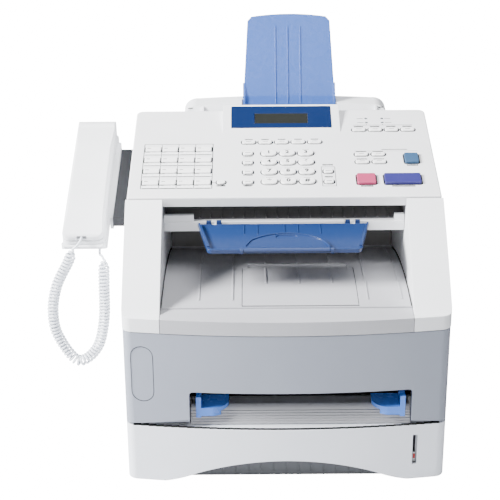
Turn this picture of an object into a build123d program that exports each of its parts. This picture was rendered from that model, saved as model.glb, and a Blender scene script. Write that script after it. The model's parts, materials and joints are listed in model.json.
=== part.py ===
from build123d import *

import math
import os

# Laser fax machine with a telephone handset, as an assembly of separate pieces.
#
# X runs to the right, Y to the back and Z up, in millimetres. The pieces are drawn about the
# middle of the body's footprint on the table; save() then moves them all together, so that the
# origin of the finished assembly lies on the table under the middle of the front left foot.

# ---------------------------------------------------------------- driving dimensions
BODY_WIDTH = 353.0
PANEL_WIDTH = 350.0
FRONT_Y = -185.0
BACK_Y = 185.0
FRONT_BOW = 14.0
CORNER_RADIUS = 12.0
SKIN = 3.0
GAP = 0.6

CASSETTE_TOP = 70.0
COVER_BOTTOM = 71.0
COVER_TOP = 185.8
LIP_BOTTOM = 186.5
LIP_TOP = 203.0
PILLAR_WIDTH = 41.0

PAPER_CENTRE = 15.4
PAPER_WIDTH = 216.0
DOCUMENT_CENTRE = 11.0

PANEL_FRONT_Y = -65.0
PANEL_FRONT_Z = 290.0
PANEL_RISE = 31.0
PANEL_RUN = 198.0
PANEL_LENGTH = math.hypot(PANEL_RISE, PANEL_RUN)
PANEL_SLOPE = math.degrees(math.atan2(PANEL_RISE, PANEL_RUN))
PANEL_DEPTH = 12.0
PANEL_PLATE = 2.5

HUMP_START = 144.0
HUMP_HEIGHT = 7.5
HUMP_WIDTH = 140.0

COVER_AXIS_Y = -176.0
COVER_AXIS_Z = 90.0
COVER_SWING = 19.3
PANEL_AXIS_Y = 134.0
PANEL_AXIS_Z = 313.0

PIN_RADIUS = 2.5
PIN_CLEARANCE = 0.08

HANDSET_X = -226.8
HANDSET_Y = -66.0
HANDSET_Z = 247.0
HANDSET_SLOPE = 13.6
HANDSET_LENGTH = 241.0
HANDSET_WIDTH = 47.0

FOOT_X = 140.0
FOOT_FRONT_Y = -120.0
FOOT_BACK_Y = 150.0
FOOT_RADIUS = 11.0

half_width = BODY_WIDTH / 2
panel_half = PANEL_WIDTH / 2
origin_move = Location((FOOT_X, -FOOT_FRONT_Y, 0))
panel_frame = Location((0, PANEL_FRONT_Y, PANEL_FRONT_Z), (PANEL_SLOPE, 0, 0))
hump_length = PANEL_LENGTH - HUMP_START
hump_slope = math.degrees(math.atan2(HUMP_HEIGHT, hump_length))
hump_frame = panel_frame * Location((0, HUMP_START, 0), (hump_slope, 0, 0))
handset_frame = Location((HANDSET_X, HANDSET_Y, HANDSET_Z), (HANDSET_SLOPE, 0, 0))


# ---------------------------------------------------------------- shape helpers
def slab(x0, x1, y0, y1, z0, z1):
    """A block between two corners."""
    middle = Pos((x0 + x1) / 2, (y0 + y1) / 2, (z0 + z1) / 2)
    return middle * Box(x1 - x0, y1 - y0, z1 - z0)


def side_view(edges, x0, x1):
    """A closed outline of (y, z) edges, pushed along X from x0 to x1."""
    return Pos(x0, 0, 0) * extrude(make_face(edges), amount=x1 - x0, dir=(1, 0, 0))


def line(*points):
    """A run of straight edges through (y, z) points, in the side view."""
    return Polyline(*[(0, y, z) for y, z in points])


def arc(start, middle, end):
    """A three-point arc in the side view."""
    return ThreePointArc(*[(0, y, z) for y, z in (start, middle, end)])


def polygon_side(points, x0, x1):
    """A straight-edged outline of (y, z) points, pushed along X."""
    return side_view(line(*points, points[0]), x0, x1)


def rod(radius, x0, x1, y, z):
    """A round bar along X."""
    return Pos((x0 + x1) / 2, y, z) * Rot(0, 90, 0) * Cylinder(radius, x1 - x0)


def envelope(inset, z0, z1):
    """The plan outline of the body, with its bowed front and round corners, as a prism."""
    side = half_width - inset
    front = FRONT_Y + inset
    bow = FRONT_BOW
    outline = [
        ThreePointArc((-side, front), (0, front - bow), (side, front)),
        Polyline((side, front), (side, BACK_Y - inset), (-side, BACK_Y - inset), (-side, front)),
    ]
    prism = Pos(0, 0, z0) * extrude(make_face(outline), amount=z1 - z0, dir=(0, 0, 1))
    corners = [e for e in prism.edges().filter_by(Axis.Z) if e.center().Y < 0]
    return fillet(corners, CORNER_RADIUS - inset)


def round_edges(shape, edges, radius):
    """The shape with those edges rounded, or as it was where the radius doesn't fit."""
    try:
        rounded = fillet(edges, radius)
        return rounded if rounded.is_valid else shape
    except Exception:
        print("an edge round was left out, radius", radius)
        return shape


def mirrored_pair(shape):
    """The shape and its mirror image across the middle plane."""
    return shape + mirror(shape, about=Plane.YZ)


def save(name, shape):
    """Writes one piece as a STEP file named after its node, with the origin under the foot."""
    solids = [origin_move * solid for solid in shape.solids()]
    whole = solids[0] if len(solids) == 1 else Compound(children=solids)
    export_step(whole, os.path.join("parts", name + ".step"))


# ---------------------------------------------------------------- outer casings
def under_panel(y, drop):
    """The height of a plane that lies drop below the control panel's top surface."""
    slope = math.radians(PANEL_SLOPE)
    return PANEL_FRONT_Z + (y - PANEL_FRONT_Y) * math.tan(slope) - drop / math.cos(slope)


PILLAR_FOOT = (-181.0, LIP_TOP)
PILLAR_MIDDLE = (-122.0, 250.0)
PILLAR_HEAD = (-66.4, 288.3)
RAIL_FRONT = (-66.4, 277.0)
REAR_DECK_Y = 137.0
REAR_DECK_Z = 306.0
REAR_EDGE_Z = 300.0
CAVITY_BACK_Y = 80.0
PANEL_SEAT = PANEL_DEPTH + GAP
SIDE_FRONT_Y = COVER_AXIS_Y + COVER_SWING + 0.6


def pillar_top(inset):
    """The pillar's front and top line from its lip to its head, moved inwards by inset."""
    lip = FRONT_Y - FRONT_BOW - 6 + inset
    foot = (PILLAR_FOOT[0] + inset * 0.4, PILLAR_FOOT[1] - inset)
    middle = (PILLAR_MIDDLE[0] + inset * 0.6, PILLAR_MIDDLE[1] - inset * 0.8)
    head = (PILLAR_HEAD[0] - inset * 0.2, PILLAR_HEAD[1] - inset * 1.2)
    return lip, foot, middle, head


def side_cover():
    """The right side cover: outer wall, sloping pillar and the wall beside the output tray."""
    lip, foot, middle, head = pillar_top(0)
    rail_start = (-62.5, under_panel(-62.5, PANEL_SEAT))
    rail_end = (REAR_DECK_Y, under_panel(REAR_DECK_Y, PANEL_SEAT) - 2.5)
    top_line = [
        line((lip, LIP_BOTTOM), (lip, LIP_TOP), foot),
        arc(foot, middle, head),
    ]
    outer_wall = side_view(
        top_line
        + [
            line(
                head,
                RAIL_FRONT,
                rail_start,
                rail_end,
                (BACK_Y - 1, REAR_EDGE_Z),
                (BACK_Y - 1, SKIN),
                (SIDE_FRONT_Y, SKIN),
                (SIDE_FRONT_Y, LIP_BOTTOM),
                (lip, LIP_BOTTOM),
            )
        ],
        half_width - SKIN,
        half_width,
    )
    inner_edge = half_width - PILLAR_WIDTH
    cavity_wall = side_view(
        top_line
        + [
            line(
                head,
                RAIL_FRONT,
                rail_start,
                (CAVITY_BACK_Y, under_panel(CAVITY_BACK_Y, PANEL_SEAT)),
                (CAVITY_BACK_Y, 150.0),
                (-120.0, 150.0),
                (-150.0, LIP_BOTTOM),
                (lip, LIP_BOTTOM),
            )
        ],
        inner_edge,
        inner_edge + 2.5,
    )
    thin = 2.5
    in_lip, in_foot, in_middle, in_head = pillar_top(thin)
    full = side_view(
        top_line + [line(head, (head[0], LIP_BOTTOM), (lip, LIP_BOTTOM))],
        inner_edge,
        half_width,
    )
    hollow = side_view(
        [
            line((in_lip, LIP_BOTTOM - 1), (in_lip, LIP_TOP - thin), in_foot),
            arc(in_foot, in_middle, in_head),
            line(
                in_head,
                (head[0] + 1, in_head[1]),
                (head[0] + 1, LIP_BOTTOM - 1),
                (in_lip, LIP_BOTTOM - 1),
            ),
        ],
        inner_edge - 1,
        half_width + 1,
    )
    hollow = hollow & envelope(thin, LIP_BOTTOM - 2, 400)
    skin = (full & envelope(0, LIP_BOTTOM, 400)) - hollow
    walls = (outer_wall + cavity_wall) & envelope(0, SKIN, 400)
    cover = skin + walls
    return cover


def output_floor(depth):
    """Three points of the output tray's curved floor, moved down by depth."""
    return (-186.0, LIP_TOP - depth), (-60.0, 199.5 - depth), (78.0, 162.0 - depth)


def floor_layer(top, bottom, x0, x1, y0=None, y1=None):
    """A layer of the output tray's floor between two depths, over a rectangle in plan."""
    upper, lower = output_floor(top), output_floor(bottom)
    layer = side_view(
        [arc(*upper), line(upper[2], lower[2]), arc(*lower), line(lower[0], upper[0])],
        x0,
        x1,
    )
    if y0 is None:
        return layer
    return layer & slab(x0 - 1, x1 + 1, y0, y1, 0, 400)


APRON_BACK_Y = -166.0
FLAP_LEFT = PAPER_CENTRE - 62.5
FLAP_RIGHT = PAPER_CENTRE + 62.5
FLAP_FRONT_Y = -159.5
FLAP_BACK_Y = -58.5
FLAP_THICK = 2.4
RIB_PITCH = 36.6


def floor_height(y):
    """The height of the output tray's floor at a distance y, from its three-point arc."""
    (ya, za), (yb, zb), (yc, zc) = output_floor(0)
    d = 2 * (ya * (zb - zc) + yb * (zc - za) + yc * (za - zb))
    sa, sb, sc = ya**2 + za**2, yb**2 + zb**2, yc**2 + zc**2
    yo = (sa * (zb - zc) + sb * (zc - za) + sc * (za - zb)) / d
    zo = (sa * (yc - yb) + sb * (ya - yc) + sc * (yb - ya)) / d
    radius = math.hypot(ya - yo, za - zo)
    return zo + math.sqrt(radius**2 - (y - yo) ** 2)


FLAP_AXIS_Z = floor_height(FLAP_FRONT_Y) - FLAP_THICK / 2
APRON_STEP = floor_height(APRON_BACK_Y) - LIP_TOP + 0.5


def paper_ribs(x0, x1, y0, y1):
    """The long thin ribs that carry printed paper, at an even pitch, inside a rectangle."""
    ribs = None
    for step in range(-3, 4):
        x = PAPER_CENTRE + step * RIB_PITCH
        if x0 < x < x1:
            rib = floor_layer(-0.9, 0.6, x - 0.8, x + 0.8, y0, y1)
            ribs = rib if ribs is None else ribs + rib
    return ribs


def output_tray():
    """The top cover between the pillars: front lip, curved floor and the well for the flap."""
    reach = half_width - PILLAR_WIDTH - GAP
    lip = slab(-reach, reach, -210, APRON_BACK_Y, LIP_BOTTOM, LIP_TOP) & envelope(0, LIP_BOTTOM, 400)
    lip -= envelope(SKIN, LIP_BOTTOM - 1, LIP_TOP - SKIN)
    floor = floor_layer(0, SKIN, -reach, reach, APRON_BACK_Y, 80)
    step_edge = slab(-reach, reach, APRON_BACK_Y - 1.2, APRON_BACK_Y, LIP_TOP - 1, LIP_TOP + APRON_STEP)
    pan = floor_layer(1, 6.4, FLAP_LEFT - 4, FLAP_RIGHT + 4, FLAP_FRONT_Y - 7, FLAP_BACK_Y + 20)
    back = slab(-reach, reach, 76, 78.5, 158, 274)
    back -= slab(PAPER_CENTRE - 112, PAPER_CENTRE + 112, 70, 85, 176, 184)
    tray = lip + floor + step_edge + pan + back
    for y in (-120, 0):
        z = floor_height(y)
        tray += slab(-reach - GAP, reach + GAP, y - 4, y + 4, z - 2.6, z - 1.4)
    tray += paper_ribs(-reach, FLAP_LEFT - 1, -150, 60)
    tray += paper_ribs(FLAP_RIGHT + 1, reach, -150, 60)
    tray += paper_ribs(FLAP_LEFT, FLAP_RIGHT, FLAP_BACK_Y + 18, 60)
    well_back = FLAP_BACK_Y + 0.7
    well = floor_layer(-3, 3.6, FLAP_LEFT - 0.7, FLAP_RIGHT + 0.7, FLAP_FRONT_Y - 4.4, well_back)
    finger = floor_layer(-3, 2.2, FLAP_LEFT + 6, FLAP_RIGHT - 6, FLAP_BACK_Y, FLAP_BACK_Y + 15)
    tray = tray - well - finger
    for x in (FLAP_LEFT, FLAP_RIGHT):
        tray -= rod(1.0 + PIN_CLEARANCE, x - 3.2, x + 3.2, FLAP_FRONT_Y, FLAP_AXIS_Z)
    return tray


def output_flap():
    """The flap that lies in the output tray and tips up to stop printed pages."""
    plate = floor_layer(0, FLAP_THICK, FLAP_LEFT, FLAP_RIGHT, FLAP_FRONT_Y, FLAP_BACK_Y)
    barrel = rod(FLAP_THICK / 2, FLAP_LEFT, FLAP_RIGHT, FLAP_FRONT_Y, FLAP_AXIS_Z)
    pins = rod(1.0, FLAP_LEFT - 2.8, FLAP_RIGHT + 2.8, FLAP_FRONT_Y, FLAP_AXIS_Z)
    ribs = paper_ribs(FLAP_LEFT, FLAP_RIGHT, FLAP_BACK_Y - 50, FLAP_BACK_Y)
    return plate + barrel + pins + ribs


NOTCH_LEFT = PAPER_CENTRE - 121.0
NOTCH_RIGHT = PAPER_CENTRE + 121.0
NOTCH_TOP = 116.0
BLANK_X = -155.8
BLANK_Z = 135.7
BLANK_WIDTH = 23.6
BLANK_HEIGHT = 66.7
BLANK_DEPTH = 2.0
COVER_INSET = 0.4


def blank_outline(grow, y0, y1):
    """The tall round-ended outline at the cover's left, pushed along Y."""
    outline = SlotOverall(BLANK_HEIGHT + 2 * grow, BLANK_WIDTH + 2 * grow, rotation=90)
    face = Plane.XZ * outline
    return Pos(BLANK_X, y1, BLANK_Z) * extrude(face, amount=y1 - y0, dir=(0, -1, 0))


def front_cover():
    """The cover that tips down to reach the toner, with the notch for the manual feed."""
    skin = envelope(COVER_INSET, COVER_BOTTOM, COVER_TOP) - envelope(COVER_INSET + SKIN, 60, 200)
    skin = skin & slab(-200, 200, -210, SIDE_FRONT_Y - 1.2, 60, 200)
    frame = envelope(2.5, COVER_BOTTOM, NOTCH_TOP + 2.5)
    frame_left, frame_right = NOTCH_LEFT - 2.5, NOTCH_RIGHT + 2.5
    frame = frame & slab(frame_left, frame_right, -210, -178, COVER_BOTTOM, NOTCH_TOP + 2.5)
    inner = slab(NOTCH_LEFT, NOTCH_RIGHT, -220, -170, 60, NOTCH_TOP)
    inner = fillet([e for e in inner.edges().filter_by(Axis.Y) if e.center().Z > 100], 4.0)
    stiffener = slab(-170, 170, -196, -176, 150, 152.5) & envelope(2.5, 149, 153)
    cover = skin + frame + stiffener
    for side in (-1, 1):
        x0, x1 = sorted((side * 158.0, side * 162.0))
        arm = slab(x0, x1, -186, COVER_AXIS_Y, COVER_AXIS_Z - 6, COVER_AXIS_Z + 6)
        ear = rod(6.0, x0, x1, COVER_AXIS_Y, COVER_AXIS_Z) + (arm & envelope(2.5, 60, 200))
        p0, p1 = sorted((side * 149.6, side * 159.0))
        cover += ear + rod(PIN_RADIUS, p0, p1, COVER_AXIS_Y, COVER_AXIS_Z)
    cover -= inner
    cover -= blank_outline(0.5, -200, -180) - envelope(COVER_INSET + BLANK_DEPTH, 60, 220)
    cover -= blank_outline(-1.5, -200, -180)
    return cover & cover_swing()


def cover_swing():
    """The room in which the cover turns on its pins without touching the covers around it."""
    below = rod(COVER_SWING, -200, 200, COVER_AXIS_Y, COVER_AXIS_Z)
    ahead = slab(-200, 200, -230, COVER_AXIS_Y, COVER_AXIS_Z, 220)
    behind = slab(-200, 200, COVER_AXIS_Y, -100, COVER_AXIS_Z, 220)
    reach = LIP_BOTTOM - COVER_AXIS_Z - 0.3
    return below + ahead + (behind & rod(reach, -200, 200, COVER_AXIS_Y, COVER_AXIS_Z))


def blanking_plate():
    """The round-ended blank that fills the unused hole in the front cover."""
    front = COVER_INSET + 0.3
    back = COVER_INSET + BLANK_DEPTH - 0.05
    plate = (blank_outline(0, -200, -180) & envelope(front, 60, 220)) - envelope(back, 60, 220)
    plug = blank_outline(-2.0, -200, -180) & (envelope(back - 0.1, 60, 220) - envelope(back + 2, 60, 220))
    return plate + plug


def rear_cover():
    """The back wall with its vents and sockets, and the deck behind the control panel."""
    wide = half_width - SKIN - 0.5
    wall = slab(-wide, wide, BACK_Y - SKIN - 1, BACK_Y - 1, 5, REAR_EDGE_Z - 0.4)
    deck = polygon_side(
        [
            (REAR_DECK_Y, REAR_DECK_Z),
            (BACK_Y - 1, REAR_EDGE_Z),
            (BACK_Y - 1, REAR_EDGE_Z - SKIN),
            (REAR_DECK_Y, REAR_DECK_Z - SKIN),
        ],
        -wide,
        wide,
    )
    cover = wall + deck
    for side in (-1, 1):
        x0, x1 = sorted((side * (PLATE_IN - 1), side * 162.0))
        cover -= slab(x0, x1, REAR_DECK_Y - 1, PANEL_AXIS_Y + 9, 290, 320)
    for row in range(9):
        z = 232 + row * 6.5
        for x in (-95, 95):
            cover -= slab(x - 42, x + 42, BACK_Y - 10, BACK_Y + 5, z, z + 2.6)
    cover -= slab(108, 136, BACK_Y - 10, BACK_Y + 5, 34, 54)
    for x in (-140, -118):
        cover -= slab(x - 6, x + 6, BACK_Y - 10, BACK_Y + 5, 38, 50)
    for x, z in screw_places():
        cover -= Pos(x, BACK_Y, z) * Rot(90, 0, 0) * Cylinder(1.7, 30)
    return cover


def screw_places():
    """The (x, z) places of the rear cover's screws."""
    return [(x, z) for x in (-150.0, 150.0) for z in (20.0, 150.0, 285.0)]


def case_screws():
    """Pan-head screws that hold the rear cover to the chassis flanges."""
    screws = None
    for x, z in screw_places():
        head = Pos(x, BACK_Y, z) * Rot(90, 0, 0) * Cylinder(3.4, 2.0)
        cross = slab(x - 2.2, x + 2.2, BACK_Y + 0.2, BACK_Y + 3, z - 0.4, z + 0.4)
        cross += slab(x - 0.4, x + 0.4, BACK_Y + 0.2, BACK_Y + 3, z - 2.2, z + 2.2)
        shank = Pos(x, BACK_Y - 5.5, z) * Rot(90, 0, 0) * Cylinder(1.5, 10.0)
        screw = (head - cross) + shank
        screws = screw if screws is None else screws + screw
    return screws


# ---------------------------------------------------------------- chassis and insides
PLATE_IN = 158.0 - 8.0
PLATE_OUT = PLATE_IN + 5.0
FLOOR_TOP = 5.0
PICKUP_Y = -128.0
PICKUP_Z = 73.0
FUSER_Y = 118.0
BOARD_X = -half_width + SKIN + 5
BOARD_THICK = 1.6
BOARD_POSTS = [(y, z) for y in (-112.0, 108.0) for z in (28.0, 162.0)]
FUSER_Z = 118.0


def base_frame():
    """The chassis: floor, two side plates, the deck over the cassette and the rear flanges."""
    floor = slab(-half_width + SKIN, half_width - SKIN, -148, 178, 2.0, FLOOR_TOP)
    deck = slab(-PLATE_IN, PLATE_IN, -90, 176, 73.0, 76.0)
    plate = polygon_side(
        [
            (-150, 5),
            (-150, 183),
            (-100, 183),
            (-60, 240),
            (118, 262),
            (118, 296),
            (145, 296),
            (176, 290),
            (176, 5),
        ],
        PLATE_IN,
        PLATE_OUT,
    )
    arm = slab(PLATE_IN, PLATE_OUT, COVER_AXIS_Y, -149, COVER_AXIS_Z - 5.4, COVER_AXIS_Z + 5.4)
    arm += rod(5.4, PLATE_IN, PLATE_OUT, COVER_AXIS_Y, COVER_AXIS_Z)
    ear = slab(PLATE_IN, PLATE_OUT, PANEL_AXIS_Y - 4.4, PANEL_AXIS_Y + 4.4, 290, PANEL_AXIS_Z)
    ear += rod(4.4, PLATE_IN, PLATE_OUT, PANEL_AXIS_Y, PANEL_AXIS_Z)
    flange = slab(PLATE_IN - 8, PLATE_OUT, 176, BACK_Y - SKIN - 1, 10, 293)
    plate = plate + arm + ear + flange
    plate -= rod(PIN_RADIUS + PIN_CLEARANCE, 100, 200, COVER_AXIS_Y, COVER_AXIS_Z)
    plate -= rod(PIN_RADIUS + PIN_CLEARANCE, 100, 200, PANEL_AXIS_Y, PANEL_AXIS_Z)
    plate -= rod(4.0 + PIN_CLEARANCE, 100, 200, PICKUP_Y, PICKUP_Z)
    plate -= rod(5.0 + PIN_CLEARANCE, 100, 200, FUSER_Y, FUSER_Z)
    beam = slab(-PLATE_IN, PLATE_IN, -150, -147, 72, 84)
    frame = floor + deck + beam + mirrored_pair(plate)
    for y, z in BOARD_POSTS:
        frame += rod(3.0, BOARD_X + BOARD_THICK, -PLATE_OUT, y, z)
    for x, z in screw_places():
        frame -= Pos(x, BACK_Y - 5, z) * Rot(90, 0, 0) * Cylinder(1.6, 40)
    return frame


def rubber_feet():
    """Four round feet under the chassis floor."""
    feet = None
    for x in (-FOOT_X, FOOT_X):
        for y in (FOOT_FRONT_Y, FOOT_BACK_Y):
            foot = Pos(x, y, 1.0) * Cylinder(FOOT_RADIUS, 2.0)
            feet = foot if feet is None else feet + foot
    return feet


def pickup_roller():
    """The shaft that draws paper from the cassette, with its two rubber rolls."""
    shaft = rod(4.0, -PLATE_OUT + 0.5, PLATE_OUT - 0.5, PICKUP_Y, PICKUP_Z)
    for x in (-10, 40):
        shaft += rod(13.0, x - 12, x + 12, PICKUP_Y, PICKUP_Z)
    return shaft


def fuser_roller():
    """The heated roller that fixes toner to the page."""
    shaft = rod(5.0, -PLATE_OUT + 0.5, PLATE_OUT - 0.5, FUSER_Y, FUSER_Z)
    return shaft + rod(12.5, PAPER_CENTRE - 114, PAPER_CENTRE + 114, FUSER_Y, FUSER_Z)


def drum_toner_cartridge():
    """The toner hopper and drum in one housing, with a pull handle at its front."""
    body = polygon_side(
        [(-146, 114), (-140, 140), (-70, 148), (-20, 140), (-20, 100), (-60, 84), (-108, 102)],
        -PLATE_IN + 0.1,
        PLATE_IN - 0.1,
    )
    drum = rod(12.0, PAPER_CENTRE - 120, PAPER_CENTRE + 120, -62, 92)
    handle = slab(PAPER_CENTRE - 30, PAPER_CENTRE + 30, -158, -140, 122, 126)
    handle -= slab(PAPER_CENTRE - 22, PAPER_CENTRE + 22, -154, -146, 120, 128)
    return body + drum + handle


def laser_unit():
    """The sealed box of the laser scanner, below the rear of the output tray."""
    box = polygon_side(
        [(-6, 108), (-6, 152), (70, 142), (70, 108)], PAPER_CENTRE - 95, PAPER_CENTRE + 95
    )
    window = slab(PAPER_CENTRE - 90, PAPER_CENTRE + 90, -9, -6, 112, 124)
    unit = box + window
    for x in (PAPER_CENTRE - 80, PAPER_CENTRE + 80):
        unit += slab(x - 8, x + 8, 0, 60, 76, 108)
    return unit


def main_board():
    """The logic board that stands between the left chassis plate and the side cover."""
    top = BOARD_X + BOARD_THICK
    board = slab(BOARD_X, top, -120, 150, 20, 170)
    chips = [(-70, 60, 24), (-20, 120, 18), (40, 70, 30), (90, 120, 22)]
    for y, z, size in chips:
        board += slab(top, top + 2.6, y - size / 2, y + size / 2, z - size / 2, z + size / 2)
    for y in (-30, 0, 30):
        board += rod(4.0, top, top + 8, y, 34)
    for z in (38, 44):
        board += slab(top, top + 4.4, 120, 148, z, z + 3)
    return board





# ---------------------------------------------------------------- manual feed
BED_LEFT = NOTCH_LEFT + 0.8
BED_RIGHT = NOTCH_RIGHT - 0.8
CREST_Z = 88.4
GUIDE_BASE = 89.25


def feeder_bed():
    """The ribbed sill of the manual feed slot, with its round crest."""
    steps = 5
    front = [(-186.0, COVER_BOTTOM)]
    for step in range(steps):
        z = COVER_BOTTOM + 1.0 + step * 2.7
        y = -186.0 + step * 1.35
        front += [(y, z + 1.7), (y + 1.35, z + 1.7)]
    sill = line((-150, CREST_Z - 4), (-150, CREST_Z - 8), (-168, CREST_Z - 8), (-168, COVER_BOTTOM), *front)
    last = front[-1]
    crest = arc(last, (last[0] + 3.4, CREST_Z), (last[0] + 12.0, CREST_Z - 1.6))
    back = line((last[0] + 12.0, CREST_Z - 1.6), (-150, CREST_Z - 4))
    return side_view([sill, crest, back], BED_LEFT, BED_RIGHT)


GUIDE_FACE = PAPER_WIDTH / 2 + 0.3


def feed_guide(side):
    """A manual feed guide: upright plate, and the curved shelf that the page edge rides on."""
    face = PAPER_CENTRE + side * GUIDE_FACE
    x0, x1 = sorted((face, face + side * 5.6))
    plate = slab(x0, x1, -190, -164, GUIDE_BASE, 107.5)
    foot = slab(x0, x1, -190, -187.2, 82, 107.5)
    reach = 30.0
    outline = [
        Polyline((0, -160), (0, -190), (reach * 0.35, -190)),
        ThreePointArc((reach * 0.35, -190), (reach * 0.86, -183), (reach, -172)),
        Polyline((reach, -172), (reach, -160), (0, -160)),
    ]
    shelf = Pos(0, 0, GUIDE_BASE) * extrude(make_face(outline), amount=4.5, dir=(0, 0, 1))
    skirt = Pos(0, 0, 84) * extrude(make_face(outline), amount=8, dir=(0, 0, 1))
    shelf += skirt & slab(-1, reach + 1, -191, -186.9, 80, 100)
    if side > 0:
        shelf = mirror(shelf, about=Plane.YZ)
    return plate + foot + Pos(face, 0, 0) * shelf


# ---------------------------------------------------------------- paper cassette
CASSETTE_BACK_Y = 128.0
CASSETTE_HALF = 146.0
LIFT_AXIS_Y = 104.0
LIFT_AXIS_Z = 14.0
LIFT_HALF = PAPER_WIDTH / 2 - 2
WINDOW_X = 141.8
HANDLE_RISE = 30.0
HANDLE_FLAT = 0.6


def handle_arch(y0, y1):
    """The long arch under the cassette's front, with reversed curves at its feet."""
    turn = (-98.0, 13.0)
    foot = (-146.0, -1.0)
    top = HANDLE_RISE + HANDLE_FLAT
    outline = [
        Polyline((foot[0], -3), foot),
        ThreePointArc(foot, (-124, 3.2), turn),
        ThreePointArc(turn, (0, top), (-turn[0], turn[1])),
        ThreePointArc((-turn[0], turn[1]), (124, 3.2), (-foot[0], foot[1])),
        Polyline((-foot[0], foot[1]), (-foot[0], -3), (foot[0], -3)),
    ]
    face = Plane.XZ * make_face(outline)
    return Pos(0, y1, 0) * extrude(face, amount=y1 - y0, dir=(0, -1, 0))


def paper_cassette():
    """The sheet drawer: bowed front with its handle arch and level window, and open tray."""
    front = envelope(COVER_INSET, 0.8, CASSETTE_TOP)
    front -= envelope(COVER_INSET + SKIN, -1, CASSETTE_TOP - SKIN)
    front = front & slab(-200, 200, -210, SIDE_FRONT_Y - 1.2, 0, 100)
    front = front - handle_arch(-230, -181)
    front -= slab(WINDOW_X - 2.6, WINDOW_X + 2.6, -210, -180, 19.6, 57.6)
    lid_cut = slab(-CASSETTE_HALF + 2, CASSETTE_HALF - 2, -181, -150, CASSETTE_TOP - 5, 90)
    front -= lid_cut
    inner = slab(-172, 172, -181.0, -178.5, 1.5, CASSETTE_TOP - 1)
    inner -= slab(WINDOW_X - 8, WINDOW_X + 8, -185, -175, 11.5, 62)
    low = FLOOR_TOP + 0.05
    floor = slab(-CASSETTE_HALF, CASSETTE_HALF, -179, CASSETTE_BACK_Y, low, low + 2.5)
    walls = slab(-CASSETTE_HALF, CASSETTE_HALF, -179, CASSETTE_BACK_Y, low, 58.0)
    walls -= slab(-CASSETTE_HALF + 2.5, CASSETTE_HALF - 2.5, -190, CASSETTE_BACK_Y - 2.5, 4.0, 70.0)
    drawer = front + inner + floor + walls
    for side in (-1, 1):
        x0, x1 = sorted((PAPER_CENTRE + side * (LIFT_HALF + 0.2), PAPER_CENTRE + side * (LIFT_HALF + 4)))
        drawer += slab(x0, x1, LIFT_AXIS_Y - 4, LIFT_AXIS_Y + 4, low + 1, LIFT_AXIS_Z + 4)
        drawer -= rod(1.5 + PIN_CLEARANCE, x0 - 1, x1 + 1, LIFT_AXIS_Y, LIFT_AXIS_Z)
    return drawer


def lift_plate():
    """The hinged plate that presses the stack up, with the red pointer of the level window."""
    half = LIFT_HALF
    plate = slab(PAPER_CENTRE - half, PAPER_CENTRE + half, -160, LIFT_AXIS_Y, 12.8, 15.2)
    barrel = rod(2.4, PAPER_CENTRE - half, PAPER_CENTRE + half, LIFT_AXIS_Y, LIFT_AXIS_Z)
    arm = slab(PAPER_CENTRE + half - 4, WINDOW_X + 1.5, -172, -166, 12.8, 15.2)
    arm += slab(PAPER_CENTRE + half - 8, PAPER_CENTRE + half, -172, -159, 12.8, 15.2)
    post = slab(WINDOW_X - 1.5, WINDOW_X + 1.5, -183.5, -166, 12.8, 15.2)
    post += slab(WINDOW_X - 1.5, WINDOW_X + 1.5, -184.0, -182.0, 12.8, 32.0)
    pins = rod(1.5, PAPER_CENTRE - half - 3, PAPER_CENTRE + half + 3, LIFT_AXIS_Y, LIFT_AXIS_Z)
    return plate + barrel + pins + arm + post


# ---------------------------------------------------------------- scanner deck
SCAN_TOP = -34.0
SCAN_REACH = half_width - PILLAR_WIDTH - GAP
SENSOR_V = 92.0
FEED_V = 130.0
FEED_W = -24.6


def scanner_frame():
    """The lower half of the scanner below the control panel, whose front is the long sill."""
    low = SCAN_TOP - SKIN
    frame = slab(-SCAN_REACH, SCAN_REACH, 2, 152, low, SCAN_TOP)
    frame += slab(-SCAN_REACH, SCAN_REACH, 2, 5, SCAN_TOP - 12, SCAN_TOP)
    frame += slab(-SCAN_REACH, DOCUMENT_CENTRE - 112.5, 3.5, 7.5, SCAN_TOP, SCAN_TOP + 8)
    frame += slab(DOCUMENT_CENTRE + 112.5, SCAN_REACH, 3.5, 7.5, SCAN_TOP, SCAN_TOP + 8)
    frame += slab(-PLATE_IN, PLATE_IN, 150, 196, low, SCAN_TOP)
    ramp = [
        (146, low),
        (146, SCAN_TOP),
        (188, SCAN_TOP + 9),
        (199, SCAN_TOP + 14.5),
        (199, SCAN_TOP + 11),
        (189, SCAN_TOP + 6),
        (150, low),
    ]
    frame += polygon_side(ramp, DOCUMENT_CENTRE - 110, DOCUMENT_CENTRE + 110)
    well_half, pocket_half = 116, 113
    left, right = DOCUMENT_CENTRE - well_half, DOCUMENT_CENTRE + well_half
    frame += slab(left, right, SENSOR_V - 13, SENSOR_V + 13, SCAN_TOP - 14, low)
    left, right = DOCUMENT_CENTRE - pocket_half, DOCUMENT_CENTRE + pocket_half
    frame -= slab(left, right, SENSOR_V - 10, SENSOR_V + 10, SCAN_TOP - 12, 0)
    for x in tray_hinge_places():
        frame -= slab(x - 8.8, x + 8.8, 0, 6.0, SCAN_TOP - 9, SCAN_TOP + 1)
        frame += rod(3.0, x - 2.6, x + 2.6, TRAY_AXIS_V, TRAY_AXIS_W)
        frame += slab(x - 2.6, x + 2.6, TRAY_AXIS_V, 7.0, TRAY_AXIS_W - 3, SCAN_TOP)
        frame -= rod(1.6 + PIN_CLEARANCE, x - 3, x + 3, TRAY_AXIS_V, TRAY_AXIS_W)
    return panel_frame * frame


TRAY_AXIS_V = 0.4
TRAY_AXIS_W = SCAN_TOP - 3.2
CATCH_CENTRE = -1.0


def tray_hinge_places():
    """The two X places of the document output tray's hinges."""
    return (CATCH_CENTRE - 77.8, CATCH_CENTRE + 77.8)


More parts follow.
